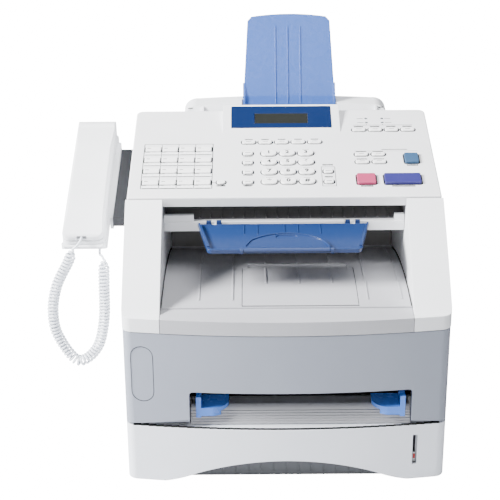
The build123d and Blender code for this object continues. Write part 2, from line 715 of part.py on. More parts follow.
def image_sensor():
    """The contact image sensor bar with its glass, in its pocket in the scanner frame."""
    bar = slab(
        DOCUMENT_CENTRE - 112, DOCUMENT_CENTRE + 112,
        SENSOR_V - 9, SENSOR_V + 9, SCAN_TOP - 11.5, SCAN_TOP + 0.2,
    )
    return panel_frame * bar


def document_feed_roller():
    """The roller under the control panel that feeds originals past the sensor."""
    x0, x1 = DOCUMENT_CENTRE - 60, DOCUMENT_CENTRE + 60
    roller = rod(3.0, DOCUMENT_CENTRE - 100, DOCUMENT_CENTRE + 100, FEED_V, FEED_W)
    for x in (x0, DOCUMENT_CENTRE, x1):
        roller += rod(8.2, x - 14, x + 14, FEED_V, FEED_W)
    return panel_frame * roller


# ---------------------------------------------------------------- control panel
# A key is (x, v, width, height, corner radius): v runs up the panel from its front edge.
NUMBER_PITCH_X = 21.4
NUMBER_ROWS = (95.3, 74.8, 53.4, 32.3)
NUMBER_NAMES = ("1", "2", "3", "4", "5", "6", "7", "8", "9", "star", "0", "hash")
NUMBER_CENTRE = 5.4
TOUCH_LEFT = -160.2
TOUCH_PITCH_X = 19.6
TOUCH_ROWS = (105.8, 81.4, 56.8, 31.4)


def number_key(index):
    """The place and size of one dial key, counted along the rows from the top left."""
    x = NUMBER_CENTRE + (index % 3 - 1) * NUMBER_PITCH_X
    return (x, NUMBER_ROWS[index // 3], 17.6, 11.6, 5.4)


def touch_keys():
    """The sixteen one-touch keys and the shift key beside them."""
    keys = []
    for v in TOUCH_ROWS:
        for column in range(4):
            keys.append((TOUCH_LEFT + TOUCH_PITCH_X * (column + 0.5), v, 18.0, 9.4, 1.6))
    return keys + [(-70.6, 31.4, 9.6, 7.6, 3.7)]


NAVIGATION_KEYS = [(x, 121.5, 15.4, 7.0, 2.6) for x in (-39.2, -19.8, -0.4, 19.0, 38.4)]
FUNCTION_KEYS = [(-40.3, v, 11.2, 7.4, 2.6) for v in (95.3, 74.8, 53.2, 31.2)]
VOLUME_KEYS = [(51.2, v, 10.4, 7.4, 2.6) for v in (53.8, 31.4)]
MODE_KEYS = [(x, 149.6, 15.6, 6.8, 2.6) for x in (92.2, 111.6, 131.0, 150.4)]
COPY_KEYS = [(x, v, 15.2, 7.0, 2.6) for v in (91.8, 74.6) for x in (91.4, 110.9)]
STOP_KEY = (93.4, 35.4, 20.8, 20.4, 1.6)
START_KEY = (134.4, 35.2, 41.0, 20.6, 1.6)
COPY_START_KEY = (148.4, 80.8, 15.8, 20.4, 1.6)

# The thin webs that join a strip's keys below the panel, as (x0, x1, v0, v1).
TOUCH_RIGHT = TOUCH_LEFT + 4 * TOUCH_PITCH_X
TOUCH_WEBS = [(TOUCH_LEFT, TOUCH_RIGHT, 24, 113), (TOUCH_RIGHT - 1, -68, 29, 34)]
FUNCTION_WEBS = [(-43, -37.6, 20, 98), (48.5, 54, 20, 57), (-43, 54, 16.5, 21.5)]
COPY_WEBS = [(86, 116, 89.5, 94), (86, 116, 72.5, 77), (99, 103, 72.5, 94)]

KEY_PLAY = 0.45
KEY_LOW = -4.6
WEB_TOP = -3.2
STEM_LOW = -6.2


def key_prism(key, grow, w0, w1):
    """A key's rounded outline, larger by grow on each side, between two heights."""
    x, v, width, height, radius = key
    outline = RectangleRounded(width + 2 * grow, height + 2 * grow, radius + grow)
    return Pos(x, v, w0) * extrude(outline, amount=w1 - w0, dir=(0, 0, 1))


def keytop(key, rise, crown=0.7):
    """A key from the web up, with its top edge rounded."""
    body = key_prism(key, 0, KEY_LOW, rise)
    top = body.faces().sort_by(Axis.Z)[-1]
    return round_edges(body, top.edges(), crown)


def single_key(key, rise):
    """A key that moves alone: keytop, keeper flange and switch stem."""
    flange = key_prism(key, 0.9, KEY_LOW, WEB_TOP)
    stem = Pos(key[0], key[1], (STEM_LOW + KEY_LOW) / 2) * Cylinder(2.0, KEY_LOW - STEM_LOW)
    return panel_frame * (keytop(key, rise) + flange + stem)


def key_strip(keys, rise, webs):
    """Keys moulded on one thin web under the panel, with a switch stem below each."""
    strip = None
    for x0, x1, v0, v1 in webs:
        web = slab(x0, x1, v0, v1, KEY_LOW, WEB_TOP)
        strip = web if strip is None else strip + web
    for key in keys:
        strip += keytop(key, rise)
        strip += Pos(key[0], key[1], (STEM_LOW + KEY_LOW) / 2) * Cylinder(1.8, KEY_LOW - STEM_LOW)
    return panel_frame * strip


def all_keys():
    """Every key, as places and sizes, for the panel's holes."""
    keys = [number_key(i) for i in range(12)] + touch_keys()
    keys += NAVIGATION_KEYS + FUNCTION_KEYS + VOLUME_KEYS + MODE_KEYS + COPY_KEYS
    return keys + [STOP_KEY, START_KEY, COPY_START_KEY]


STATUS_LIGHTS = [(x, v) for x in (102.2, 121.4) for v in (177.6, 167.6)]
BEZEL_HALF = 60.0
BEZEL_START = 10.0
BEZEL_END = 53.4
LCD_HALF = 32.0
LCD_START = 18.6
LCD_END = 38.6


def control_panel():
    """The upper shell with every key hole, the raised display housing and the hinge lugs."""
    outer = slab(-panel_half, panel_half, 0, PANEL_LENGTH, -PANEL_DEPTH, 0)
    rear = [e for e in outer.edges().filter_by(Axis.Z) if e.center().Y > 100]
    outer = fillet(rear, 8.0)
    front = [e for e in outer.edges().filter_by(Axis.Z) if e.center().Y < 1]
    outer = fillet(front, 2.0)
    outer = round_edges(outer, outer.faces().sort_by(Axis.Z)[-1].edges(), 1.8)
    wide = panel_half - 2.5
    inner = slab(-wide, wide, 2.5, PANEL_LENGTH - 2.5, -PANEL_DEPTH - 1, -PANEL_PLATE)
    shell = outer - inner
    hump_half = HUMP_WIDTH / 2
    wedge = [
        (HUMP_START, -1),
        (HUMP_START, 0),
        (PANEL_LENGTH, HUMP_HEIGHT),
        (PANEL_LENGTH, -1),
    ]
    shell = shell + polygon_side(wedge, -hump_half, hump_half)
    skin = 3.2
    rise = HUMP_HEIGHT / hump_length
    hollow_start, hollow_end = HUMP_START + 22, PANEL_LENGTH - 2.5
    hollow = [
        (hollow_start, -PANEL_PLATE - 1),
        (hollow_start, 22 * rise - skin),
        (hollow_end, (hump_length - 2.5) * rise - skin),
        (hollow_end, -PANEL_PLATE - 1),
    ]
    shell -= polygon_side(hollow, -hump_half + 2.5, hump_half - 2.5)
    for key in all_keys():
        shell -= key_prism(key, KEY_PLAY, -PANEL_PLATE - 1, 8)
    for x, v in STATUS_LIGHTS:
        shell -= Pos(x, v, -1) * Cylinder(1.5, 6)
    shell = panel_frame * shell
    pocket = slab(-BEZEL_HALF - 0.2, BEZEL_HALF + 0.2, BEZEL_START - 0.2, BEZEL_END + 0.2, -1.0, 5)
    shell -= hump_frame * pocket
    for side in (-1, 1):
        x0, x1 = sorted((side * 157.2, side * 161.0))
        lug = rod(4.6, x0, x1, PANEL_AXIS_Y, PANEL_AXIS_Z)
        lug += slab(x0, x1, PANEL_AXIS_Y - 6, PANEL_AXIS_Y + 1, PANEL_AXIS_Z, PANEL_AXIS_Z + 6.4)
        p0, p1 = sorted((side * 149.6, side * 158.0))
        n0, n1 = sorted((side * 148.8, side * 156.2))
        notch = slab(n0, n1, PANEL_AXIS_Y - 12, PANEL_AXIS_Y + 12, 280, PANEL_AXIS_Z + 5.0)
        shell -= notch
        shell += (lug & control_panel_bounds()) + rod(PIN_RADIUS, p0, p1, PANEL_AXIS_Y, PANEL_AXIS_Z)
    return shell


def control_panel_bounds():
    """The space of the control panel's shell, so that its lugs stay inside it."""
    return panel_frame * slab(-panel_half, panel_half, 0, PANEL_LENGTH, -PANEL_DEPTH, -1)


def panel_underside():
    """The plate that closes the control panel and guides originals over the sensor."""
    wide = panel_half - 2.5
    plate = slab(-wide, wide, 2.5, PANEL_LENGTH - 22, -PANEL_DEPTH, -9.8)
    for x in (-150.0, -62.0, 70.0, 150.0):
        for v in (20.0, 134.0):
            plate += Pos(x, v, -9.5) * Cylinder(3.0, 0.6)
    for side in (-1, 1):
        x = DOCUMENT_CENTRE + side * 97.0
        hanger = slab(x - 2, x + 2, FEED_V - 5, FEED_V + 5, FEED_W - 5, -9.8)
        plate += hanger
    plate -= slab(DOCUMENT_CENTRE - 94, DOCUMENT_CENTRE + 94, FEED_V - 9.5, FEED_V + 9.5, -20, 0)
    plate -= rod(3.0 + PIN_CLEARANCE, -100, 130, FEED_V, FEED_W)
    return panel_frame * plate


def key_board():
    """The switch board under the keys, with the four status lights soldered on it."""
    board = slab(-166, 166, 14, 184, -9.2, -7.6)
    for x, v in STATUS_LIGHTS:
        board += Pos(x, v, -3.75) * Cylinder(1.35, 7.9)
    return panel_frame * board


def lcd_bezel():
    """The blue frame around the display."""
    bezel = slab(-BEZEL_HALF, BEZEL_HALF, BEZEL_START, BEZEL_END, -1.0, 0.5)
    bezel = fillet(bezel.edges().filter_by(Axis.Z), 1.5)
    bezel -= slab(-LCD_HALF, LCD_HALF, LCD_START, LCD_END, -3, 3)
    return hump_frame * bezel


def lcd_window():
    """The display's clear window, set a little below its frame."""
    window = slab(-LCD_HALF + 0.15, LCD_HALF - 0.15, LCD_START + 0.15, LCD_END - 0.15, -1.0, 0.0)
    return hump_frame * window


# ---------------------------------------------------------------- document output tray
TRAY_DROP = 6.0
TRAY_LENGTH = 60.0
TRAY_BACK_HALF = 96.0
TRAY_FRONT_HALF = 83.6
tray_axis = panel_frame * Location((0, TRAY_AXIS_V, TRAY_AXIS_W))
TRAY_AXIS_Y = tray_axis.position.Y
TRAY_AXIS_Z = tray_axis.position.Z
tray_frame = Location((0, TRAY_AXIS_Y, TRAY_AXIS_Z), (TRAY_DROP, 0, 0))
TRAY_BACK = -2.4
TONGUE_BACK = -28.0
TONGUE_HALF = 47.0
TONGUE_X = 1.8
TONGUE_AXIS_S = TRAY_BACK - TRAY_LENGTH + 0.4
TONGUE_AXIS_N = 4.6
TONGUE_BARREL = 2.3


def tray_outline(grow):
    """The document output tray's tapered plan outline, with round front corners."""
    front = TRAY_BACK - TRAY_LENGTH
    points = [
        (CATCH_CENTRE - TRAY_BACK_HALF - grow, TRAY_BACK),
        (CATCH_CENTRE + TRAY_BACK_HALF + grow, TRAY_BACK),
        (CATCH_CENTRE + TRAY_FRONT_HALF + grow, front - grow),
        (CATCH_CENTRE - TRAY_FRONT_HALF - grow, front - grow),
    ]
    face = make_face(Polyline(*points, points[0]))
    corners = [v for v in face.vertices() if v.Y < front + 4]
    return fillet(corners, 5.0)


def document_output_tray():
    """The blue catch tray below the document exit, with side rims and a well for its tongue."""
    floor_low, floor_top, rim_top = 0.4, 2.8, 7.0
    front = TRAY_BACK - TRAY_LENGTH
    body = Pos(0, 0, floor_low) * extrude(tray_outline(0), amount=rim_top - floor_low, dir=(0, 0, 1))
    body -= Pos(0, 0, floor_top) * extrude(tray_outline(-2.6), amount=20, dir=(0, 0, 1))
    inside = TRAY_BACK_HALF - 3
    body -= slab(CATCH_CENTRE - inside, CATCH_CENTRE + inside, -10, 10, floor_top, 20)
    body -= slab(-100, 100, -80, front + 6, 5.0, 20)
    body -= slab(-100, 100, -6.5, 10, 3.4, 20)
    well_left, well_right = TONGUE_X - TONGUE_HALF - 0.6, TONGUE_X + TONGUE_HALF + 0.6
    body -= slab(well_left, well_right, front - 5, front + 4.4, 1.8, 20)
    for x in (-45, -30, 0, 15, 40):
        body += slab(x - 0.5, x + 0.5, TONGUE_BACK + 3, TRAY_BACK - 2, floor_top - 0.2, floor_top + 0.6)
    for x in tray_hinge_places():
        for offset in (-5.6, 5.6):
            left, right = x + offset - 2.5, x + offset + 2.5
            body += rod(2.9, left, right, 0, 0)
            body += slab(left, right, TRAY_BACK - 2.5, 0, -1.2, 2.8)
            body += slab(left, right, -2.4, 0.4, 0, 6.4)
        body -= slab(x - 2.9, x + 2.9, -3.4, 4, -5, 9)
        body += rod(1.6, x - 4.0, x + 4.0, 0, 0)
    for x, side in ((well_left, -1), (well_right, 1)):
        left, right = sorted((x, x + side * 3.4))
        body += rod(TONGUE_BARREL, left, right, TONGUE_AXIS_S, TONGUE_AXIS_N)
        body += slab(left, right, TONGUE_AXIS_S - 1.6, TONGUE_AXIS_S + 3, floor_low, TONGUE_AXIS_N)
        body -= rod(1.0 + PIN_CLEARANCE, x - 2.4, x + 2.4, TONGUE_AXIS_S, TONGUE_AXIS_N)
    return tray_frame * body


def tongue_outline(inset):
    """The tongue's half-moon plan outline, drawn in from its edge by an inset."""
    front = TRAY_BACK - TRAY_LENGTH
    shoulder = front + 18
    side, wide = TONGUE_HALF - 6 - inset, TONGUE_HALF - inset
    edges = [
        Polyline((-side, shoulder), (-wide, front + 6), (-wide, front + 1.6 + inset),
                 (wide, front + 1.6 + inset), (wide, front + 6), (side, shoulder)),
        ThreePointArc((side, shoulder), (0, TONGUE_BACK - inset), (-side, shoulder)),
    ]
    return make_face(edges)


def document_tray_tongue():
    """The half-moon flap on the catch tray that unfolds forwards to hold long pages."""
    low, top = 3.2, 6.9
    plate = Pos(TONGUE_X, 0, low) * extrude(tongue_outline(0), amount=top - low, dir=(0, 0, 1))
    plate -= Pos(TONGUE_X, 0, top - 1.1) * extrude(tongue_outline(2.2), amount=3, dir=(0, 0, 1))
    left, right = TONGUE_X - TONGUE_HALF, TONGUE_X + TONGUE_HALF
    barrel = rod(TONGUE_BARREL, left, right, TONGUE_AXIS_S, TONGUE_AXIS_N)
    pins = rod(1.0, left - 2.2, right + 2.2, TONGUE_AXIS_S, TONGUE_AXIS_N)
    thumb = extrude(SlotOverall(24, 9.5), amount=3, dir=(0, 0, 1))
    thumb = Pos(TONGUE_X, TONGUE_BACK - 9, top - 2.0) * thumb
    return tray_frame * (plate + barrel + pins - thumb)


# ---------------------------------------------------------------- rear document tray
REAR_TRAY_CENTRE = 6.4
REAR_TRAY_HALF = 125.0
REAR_TRAY_TOP = 322.5
REAR_FACE_Y = 146.5
REAR_FACE_LEAN = 0.41
SUPPORT_AXIS_Y = 153.7
SUPPORT_AXIS_Z = 318.0
SUPPORT_LEAN = 30.0
SUPPORT_HALF = 57.0
SUPPORT_TOP_HALF = 51.0
SUPPORT_LENGTH = 116.6
EAR_THICK = 3.0
RECESS_HALF = SUPPORT_HALF + 1.4
RECESS_WALL = 2.5
support_frame = Location((DOCUMENT_CENTRE, SUPPORT_AXIS_Y, SUPPORT_AXIS_Z), (-SUPPORT_LEAN, 0, 0))


def rear_tray_block(inset):
    """The rear tray's round-shouldered outline seen from the front, pushed along Y."""
    left = REAR_TRAY_CENTRE - REAR_TRAY_HALF + inset
    right = REAR_TRAY_CENTRE + REAR_TRAY_HALF - inset
    top = REAR_TRAY_TOP - inset
    low, shoulder, bend_top, middle = 292.0, top - 14.5, top - 0.9, top + 2.4
    bend = 18.0
    outline = [
        Polyline((left, low), (left, shoulder)),
        ThreePointArc((left, shoulder), (left + 6.6, top - 3.9), (left + bend, bend_top)),
        ThreePointArc((left + bend, bend_top), (REAR_TRAY_CENTRE, middle), (right - bend, bend_top)),
        ThreePointArc((right - bend, bend_top), (right - 6.6, top - 3.9), (right, shoulder)),
        Polyline((right, shoulder), (right, low), (left, low)),
    ]
    face = Plane.XZ * make_face(outline)
    return Pos(0, BACK_Y - 2, 0) * extrude(face, amount=40, dir=(0, -1, 0))


def rear_tray_shape(inset):
    """The rear tray's block with its sloping front and back faces, moved inwards by inset."""
    face = REAR_FACE_Y + inset
    front = [(face, 280), (face, 312), (face + 28 * REAR_FACE_LEAN, 340), (120, 340), (120, 280)]
    back = [(172 - inset, 340), (183 - inset, 304), (183 - inset, 280), (220, 280), (220, 340)]
    return rear_tray_block(inset) - polygon_side(front, -200, 200) - polygon_side(back, -200, 200)


def support_recess(grow):
    """The recess in which the document support stands and turns, larger by grow."""
    half = RECESS_HALF + grow
    back, floor = SUPPORT_AXIS_Y + 12.3 + grow, SUPPORT_AXIS_Z - 5.5 - grow
    return slab(DOCUMENT_CENTRE - half, DOCUMENT_CENTRE + half, 140, back, floor, 345)


def document_tray():
    """The rear tray whose sloping face carries originals, with the support's pivot pins."""
    deck_slope = (REAR_DECK_Z - REAR_EDGE_Z) / (BACK_Y - 1 - REAR_DECK_Y)
    seat_front = REAR_DECK_Z + (REAR_DECK_Y - 130) * deck_slope + 0.1
    seat_back = REAR_EDGE_Z - (191 - BACK_Y) * deck_slope + 0.1
    seat = polygon_side([(130, seat_front), (190, seat_back), (190, 270), (130, 270)], -200, 200)
    hollow = rear_tray_shape(2.6) - support_recess(RECESS_WALL)
    tray = rear_tray_shape(0) - hollow - seat - support_recess(0)
    for side in (-1, 1):
        inner = DOCUMENT_CENTRE + side * (SUPPORT_HALF - EAR_THICK - 0.5)
        left, right = sorted((inner, DOCUMENT_CENTRE + side * (RECESS_HALF + 0.6)))
        tray += rod(PIN_RADIUS, left, right, SUPPORT_AXIS_Y, SUPPORT_AXIS_Z)
    return tray


def document_support():
    """The clear blue backrest for originals, with an ear on each side that clips on a pin."""
    start = 1.0
    corner, edge = SUPPORT_LENGTH - 9, SUPPORT_LENGTH - 3.4
    outline = [
        Polyline((-SUPPORT_TOP_HALF + 5, edge), (-SUPPORT_TOP_HALF, corner), (-SUPPORT_HALF, start),
                 (SUPPORT_HALF, start), (SUPPORT_TOP_HALF, corner), (SUPPORT_TOP_HALF - 5, edge)),
        ThreePointArc((SUPPORT_TOP_HALF - 5, edge), (0, SUPPORT_LENGTH), (-SUPPORT_TOP_HALF + 5, edge)),
    ]
    face = Plane.XZ * make_face(outline)
    plate = Pos(0, 1.1, 0) * extrude(face, amount=2.2, dir=(0, -1, 0))
    for x in (-16.5, -1.5, 14.0):
        plate += slab(x - 0.6, x + 0.6, -1.9, 0, start, SUPPORT_LENGTH - 16)
    for side in (-1, 1):
        x0, x1 = sorted((side * SUPPORT_HALF, side * (SUPPORT_HALF - EAR_THICK)))
        ear = polygon_side([(-4, 0), (-4, 12), (-1.1, 30), (1.1, 30), (4, 14), (4, 0)], x0, x1)
        plate += ear + rod(4.4, x0, x1, 0, 0)
        plate -= rod(PIN_RADIUS + PIN_CLEARANCE, x0 - 1, x1 + 1, 0, 0)
    return support_frame * plate


def document_guide(side):
    """A sliding side fence on the rear tray's sloping face."""
    x = DOCUMENT_CENTRE + side * 105.0
    x0, x1 = sorted((x, x + side * 2.4))
    low, bend, high = 309.0, 312.0, 320.5
    face = REAR_FACE_Y - 0.05
    upper = face + (high - bend) * REAR_FACE_LEAN
    back_line = [(upper, high), (face, bend), (face, low)]
    fence = polygon_side([(face - 3.4, low), (face - 3.4, bend + 3), (upper - 3, high), *back_line], x0, x1)
    foot0, foot1 = sorted((x, x + side * 9.0))
    foot_upper = face + 4 * REAR_FACE_LEAN
    foot_front = [(face - 1.8, low), (face - 1.8, bend), (foot_upper - 1.8, bend + 4)]
    foot = polygon_side([*foot_front, (foot_upper, bend + 4), (face, bend), (face, low)], foot0, foot1)
    return fence + foot


# ---------------------------------------------------------------- handset and cradle
CAP_LENGTH = 50.0
CAP_DROP = -28.0
GRIP_DROP = -16.0
NOSE_DROP = -14.5
NOSE_LENGTH = 24.0
SPLIT = -9.5
SEAM = 1.2
CRADLE_TOP = CAP_DROP - 0.05
CRADLE_LOW = CAP_DROP - 8.0
CRADLE_HALF = HANDSET_WIDTH / 2 + 1.5
WALL_OUT = 28.75
HOOK_S = HANDSET_LENGTH - CAP_LENGTH - 24.0
JACK_X = 17.8
JACK_S = 6.0


def handset_outline():
    """The handset's side outline in its own frame: s along it, n above its back."""
    end = HANDSET_LENGTH
    ear_face = end - CAP_LENGTH + 6
    ear_grip = end - CAP_LENGTH - 18
    mouth_face = CAP_LENGTH - 6
    mouth_grip = CAP_LENGTH + 18
    neck = GRIP_DROP - 5
    return [
        line((NOSE_LENGTH, CAP_DROP), (0, NOSE_DROP), (0, -7)),
        arc((0, -7), (1.8, -2.2), (7, -0.8)),
        arc((7, -0.8), (end / 2, 2.2), (end - 26, -1.5)),
        arc((end - 26, -1.5), (end - 7, -5.4), (end, -18)),
        line((end, -18), (end - 2, CAP_DROP + 2), (end - 6, CAP_DROP), (ear_face, CAP_DROP)),
        arc((ear_face, CAP_DROP), (ear_grip + 14, neck), (ear_grip, GRIP_DROP)),
        line((ear_grip, GRIP_DROP), (mouth_grip, GRIP_DROP)),
        arc((mouth_grip, GRIP_DROP), (mouth_grip - 14, neck), (mouth_face, CAP_DROP)),
        line((mouth_face, CAP_DROP), (NOSE_LENGTH, CAP_DROP)),
    ]


def handset_body():
    """The whole handset as one solid, round at its corners, before it is split in two."""
    half = HANDSET_WIDTH / 2
    tall = 64.0
    body = side_view(handset_outline(), -half, half)
    section = Plane.XZ * RectangleRounded(HANDSET_WIDTH, tall, 7.0)
    body &= Pos(0, -20, 1.7 - tall / 2) * extrude(section, amount=HANDSET_LENGTH + 40, dir=(0, 1, 0))
    plan = fillet(Rectangle(HANDSET_WIDTH, HANDSET_LENGTH).vertices().sort_by(Axis.Y)[:2], 9.0)
    plan = fillet(plan.vertices().sort_by(Axis.Y)[-2:], 15.0)
    return body & (Pos(0, HANDSET_LENGTH / 2, 4 - tall) * extrude(plan, amount=tall, dir=(0, 0, 1)))


def handset_shell():
    """The handset's smooth back half, with the socket for its cord."""
    back = handset_body() & slab(-40, 40, -20, 260, SPLIT, 20)
    socket = slab(-6.5, 4.5, -2, 9, -8.0, -3.8)
    return handset_frame * (back - socket)


def handset_inner():
    """The handset's inner half: its raised core leaves a shadow gap below the back half."""
    inner = handset_body() & slab(-40, 40, -20, 260, -60, SPLIT - SEAM)
    core = extrude(RectangleRounded(HANDSET_WIDTH - 5, HANDSET_LENGTH - 16, 8.0), amount=SEAM, dir=(0, 0, 1))
    inner += Pos(0, HANDSET_LENGTH / 2, SPLIT - SEAM - 0.02) * core
    for centre in (32.5, HANDSET_LENGTH - 26.0):
        for step in range(6):
            turn = step * math.pi / 3
            inner -= Pos(7 * math.cos(turn), centre + 7 * math.sin(turn), CAP_DROP) * Cylinder(1.3, 5)
        inner -= Pos(0, centre, CAP_DROP) * Cylinder(1.3, 5)
    return handset_frame * inner


def jack_place():
    """The mouth of the cord's bore on the cradle's lower front face, square to that face."""
    return Location((JACK_X, JACK_S, -25.9), (-35.8, 0, 0))


def handset_cradle():
    """The cradle beside the body: a base that follows the handset's face, saddle and side rail."""
    end = HANDSET_LENGTH
    nose_slope = (CAP_DROP - NOSE_DROP) / NOSE_LENGTH
    nose_top = NOSE_DROP - 0.1
    base = polygon_side(
        [
            (1, nose_top + nose_slope),
            (-1.5, NOSE_DROP - 2.5),
            (-1.5, NOSE_DROP - 6),
            (20, CRADLE_LOW),
            (end - 3, CRADLE_LOW),
            (end - 3, CRADLE_TOP),
            ((CRADLE_TOP - nose_top) / nose_slope, CRADLE_TOP),
        ],
        -CRADLE_HALF,
        CRADLE_HALF,
    )
    plan = RectangleRounded(2 * CRADLE_HALF, end, 7.0)
    base &= Pos(0, end / 2 - 2, -60) * extrude(plan, amount=60, dir=(0, 0, 1))
    saddle = slab(-17, 17, CAP_LENGTH + 10, end - CAP_LENGTH - 10, CRADLE_LOW, GRIP_DROP - 4)
    saddle = round_edges(saddle, saddle.edges().filter_by(Axis.Z), 4.0)
    wall = slab(CRADLE_HALF - 0.2, WALL_OUT, 66, end - 20, CRADLE_LOW - 8, CRADLE_TOP)
    bore = Pos(0, HOOK_S, CRADLE_TOP) * Cylinder(4.0 + PIN_CLEARANCE, 60)
    jack = jack_place() * Cylinder(2.6, 10)
    return handset_frame * (base + saddle + wall - bore - jack)


def cradle_arm():
    """The dark arm that carries the cradle from the left side cover."""
    front, back = (0.0, 237.3), (158.0, 262.5)
    thick = 10.5
    side = [front, back, (back[0], back[1] - thick), (front[0], front[1] - thick)]
    arm = polygon_side(side, HANDSET_X + WALL_OUT + 0.05, -half_width)
    corners = [e for e in arm.edges().filter_by(Axis.X) if e.center().Z > 236]
    return round_edges(arm, corners, 2.0)


def hook_switch():
    """The plunger that the handset holds down."""
    top = GRIP_DROP - 0.3
    plunger = Pos(0, HOOK_S, top - 10) * Cylinder(4.0, 20.0)
    rim = plunger.faces().sort_by(Axis.Z)[-1].edges()
    return handset_frame * round_edges(plunger, rim, 1.5)


COIL_Y = HANDSET_Y - 9.0
COIL_RADIUS = 6.5
CORD_RADIUS = 1.9
COIL_PATH = [
    (-237.8, COIL_Y, 231.5),
    (-243.2, COIL_Y, 216.6),
    (-257.3, COIL_Y, 187.9),
    (-263.8, COIL_Y, 156.1),
    (-260.0, COIL_Y, 123.8),
    (-238.8, COIL_Y, 90.8),
    (-216.1, COIL_Y, 106.4),
    (-206.2, COIL_Y, 142.8),
    (-204.1, COIL_Y, 187.5),
    (-203.6, COIL_Y + 5, 216.5),
]


def swept_tube(points, radius):
    """A round tube along a smooth curve through the points."""
    path = Spline(*points)
    return sweep(Plane(path @ 0, z_dir=path % 0) * Circle(radius), path=path)


def coil_cord():
    """The coiled cord's outer tube, hanging in a loop, with its two straight tails."""
    plug = (handset_frame * Location((-1.0, -2.2, -5.9))).position
    tail = [(plug.X, plug.Y, plug.Z), (plug.X - 2.4, plug.Y - 7, plug.Z - 3.4), COIL_PATH[0]]
    jack = [(handset_frame * jack_place() * Location((0, 0, depth))).position for depth in (-5, -1, 3)]
    lead = [COIL_PATH[-1], (-206.0, COIL_Y + 11, 217.6)] + [(p.X, p.Y, p.Z) for p in jack]
    cord = swept_tube(COIL_PATH, COIL_RADIUS)
    return cord + swept_tube(tail, CORD_RADIUS) + swept_tube(lead, CORD_RADIUS)


# ---------------------------------------------------------------- every piece
def pieces():
    """Each node's name with the function that makes it."""
    made = {
        "base_frame": base_frame,
        "right_side_cover": side_cover,
        "left_side_cover": lambda: mirror(side_cover(), about=Plane.YZ),
        "rear_cover": rear_cover,
        "output_tray": output_tray,
        "output_flap": output_flap,
        "front_cover": front_cover,
        "blanking_plate": blanking_plate,
        "case_screws": case_screws,
        "rubber_feet": rubber_feet,
        "pickup_roller": pickup_roller,
        "fuser_roller": fuser_roller,
        "drum_toner_cartridge": drum_toner_cartridge,
        "laser_unit": laser_unit,
        "main_board": main_board,
        "feeder_bed": feeder_bed,
        "left_feed_guide": lambda: feed_guide(-1),
        "right_feed_guide": lambda: feed_guide(1),
        "paper_cassette": paper_cassette,
        "lift_plate": lift_plate,
        "scanner_frame": scanner_frame,
        "image_sensor": image_sensor,
        "document_feed_roller": document_feed_roller,
        "control_panel": control_panel,
        "panel_underside": panel_underside,
        "key_board": key_board,
        "lcd_bezel": lcd_bezel,
        "lcd_window": lcd_window,
        "document_output_tray": document_output_tray,
        "document_tray_tongue": document_tray_tongue,
        "document_tray": document_tray,
        "document_support": document_support,
        "left_document_guide": lambda: document_guide(-1),
        "right_document_guide": lambda: document_guide(1),
        "handset_shell": handset_shell,
        "handset_inner": handset_inner,
        "handset_cradle": handset_cradle,
        "cradle_arm": cradle_arm,
        "hook_switch": hook_switch,
        "coil_cord": coil_cord,
        "stop_key": lambda: single_key(STOP_KEY, 3.0),
        "start_key": lambda: single_key(START_KEY, 3.0),
        "copy_key": lambda: single_key(COPY_START_KEY, 3.0),
        "one_touch_keys": lambda: key_strip(touch_keys(), 1.6, TOUCH_WEBS),
        "navigation_keys": lambda: key_strip(NAVIGATION_KEYS, 1.6, [(-46, 45, 119, 124)]),
        "function_keys": lambda: key_strip(FUNCTION_KEYS + VOLUME_KEYS, 1.6, FUNCTION_WEBS),
        "mode_keys": lambda: key_strip(MODE_KEYS, 1.6, [(86, 157, 147.5, 152)]),
        "copy_option_keys": lambda: key_strip(COPY_KEYS, 1.6, COPY_WEBS),
    }
    for index, name in enumerate(NUMBER_NAMES):
        made["number_key_" + name] = lambda i=index: single_key(number_key(i), 2.0)
    return made


if __name__ == "__main__":
    os.makedirs("parts", exist_ok=True)
    for name, make in pieces().items():
        save(name, make())
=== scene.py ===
import json
import math
import random

import bmesh
import bpy
from mathutils import Matrix, Vector


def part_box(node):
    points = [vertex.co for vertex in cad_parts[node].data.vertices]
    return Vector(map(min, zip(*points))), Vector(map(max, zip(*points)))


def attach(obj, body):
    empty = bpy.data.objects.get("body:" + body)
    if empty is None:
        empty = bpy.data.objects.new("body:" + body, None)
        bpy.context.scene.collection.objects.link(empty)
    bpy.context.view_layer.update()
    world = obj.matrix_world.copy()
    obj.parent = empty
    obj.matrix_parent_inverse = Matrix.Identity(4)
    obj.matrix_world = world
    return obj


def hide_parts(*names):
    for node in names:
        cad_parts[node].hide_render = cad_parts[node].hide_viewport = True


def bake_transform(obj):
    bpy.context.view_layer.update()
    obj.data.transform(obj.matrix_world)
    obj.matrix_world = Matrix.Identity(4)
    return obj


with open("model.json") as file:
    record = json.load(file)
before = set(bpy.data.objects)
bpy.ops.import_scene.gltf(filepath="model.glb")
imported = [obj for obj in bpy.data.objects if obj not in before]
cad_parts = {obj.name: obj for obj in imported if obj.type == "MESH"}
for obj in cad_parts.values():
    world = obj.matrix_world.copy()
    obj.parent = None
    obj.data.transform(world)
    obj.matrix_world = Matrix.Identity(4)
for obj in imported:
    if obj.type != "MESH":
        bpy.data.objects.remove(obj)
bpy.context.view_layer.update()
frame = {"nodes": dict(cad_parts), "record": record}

# The laser fax machine dressed for its picture: every CAD node gets a procedural material and most get
# soft edges, and the small things that the solids leave out, such as legends, printed lines, status
# lenses, the turns of the coiled cord and dark strips of painted shade in gaps and recesses, are built
# here as pieces that ride on the CAD bodies.

chance = random.Random(7)
MM = 0.001

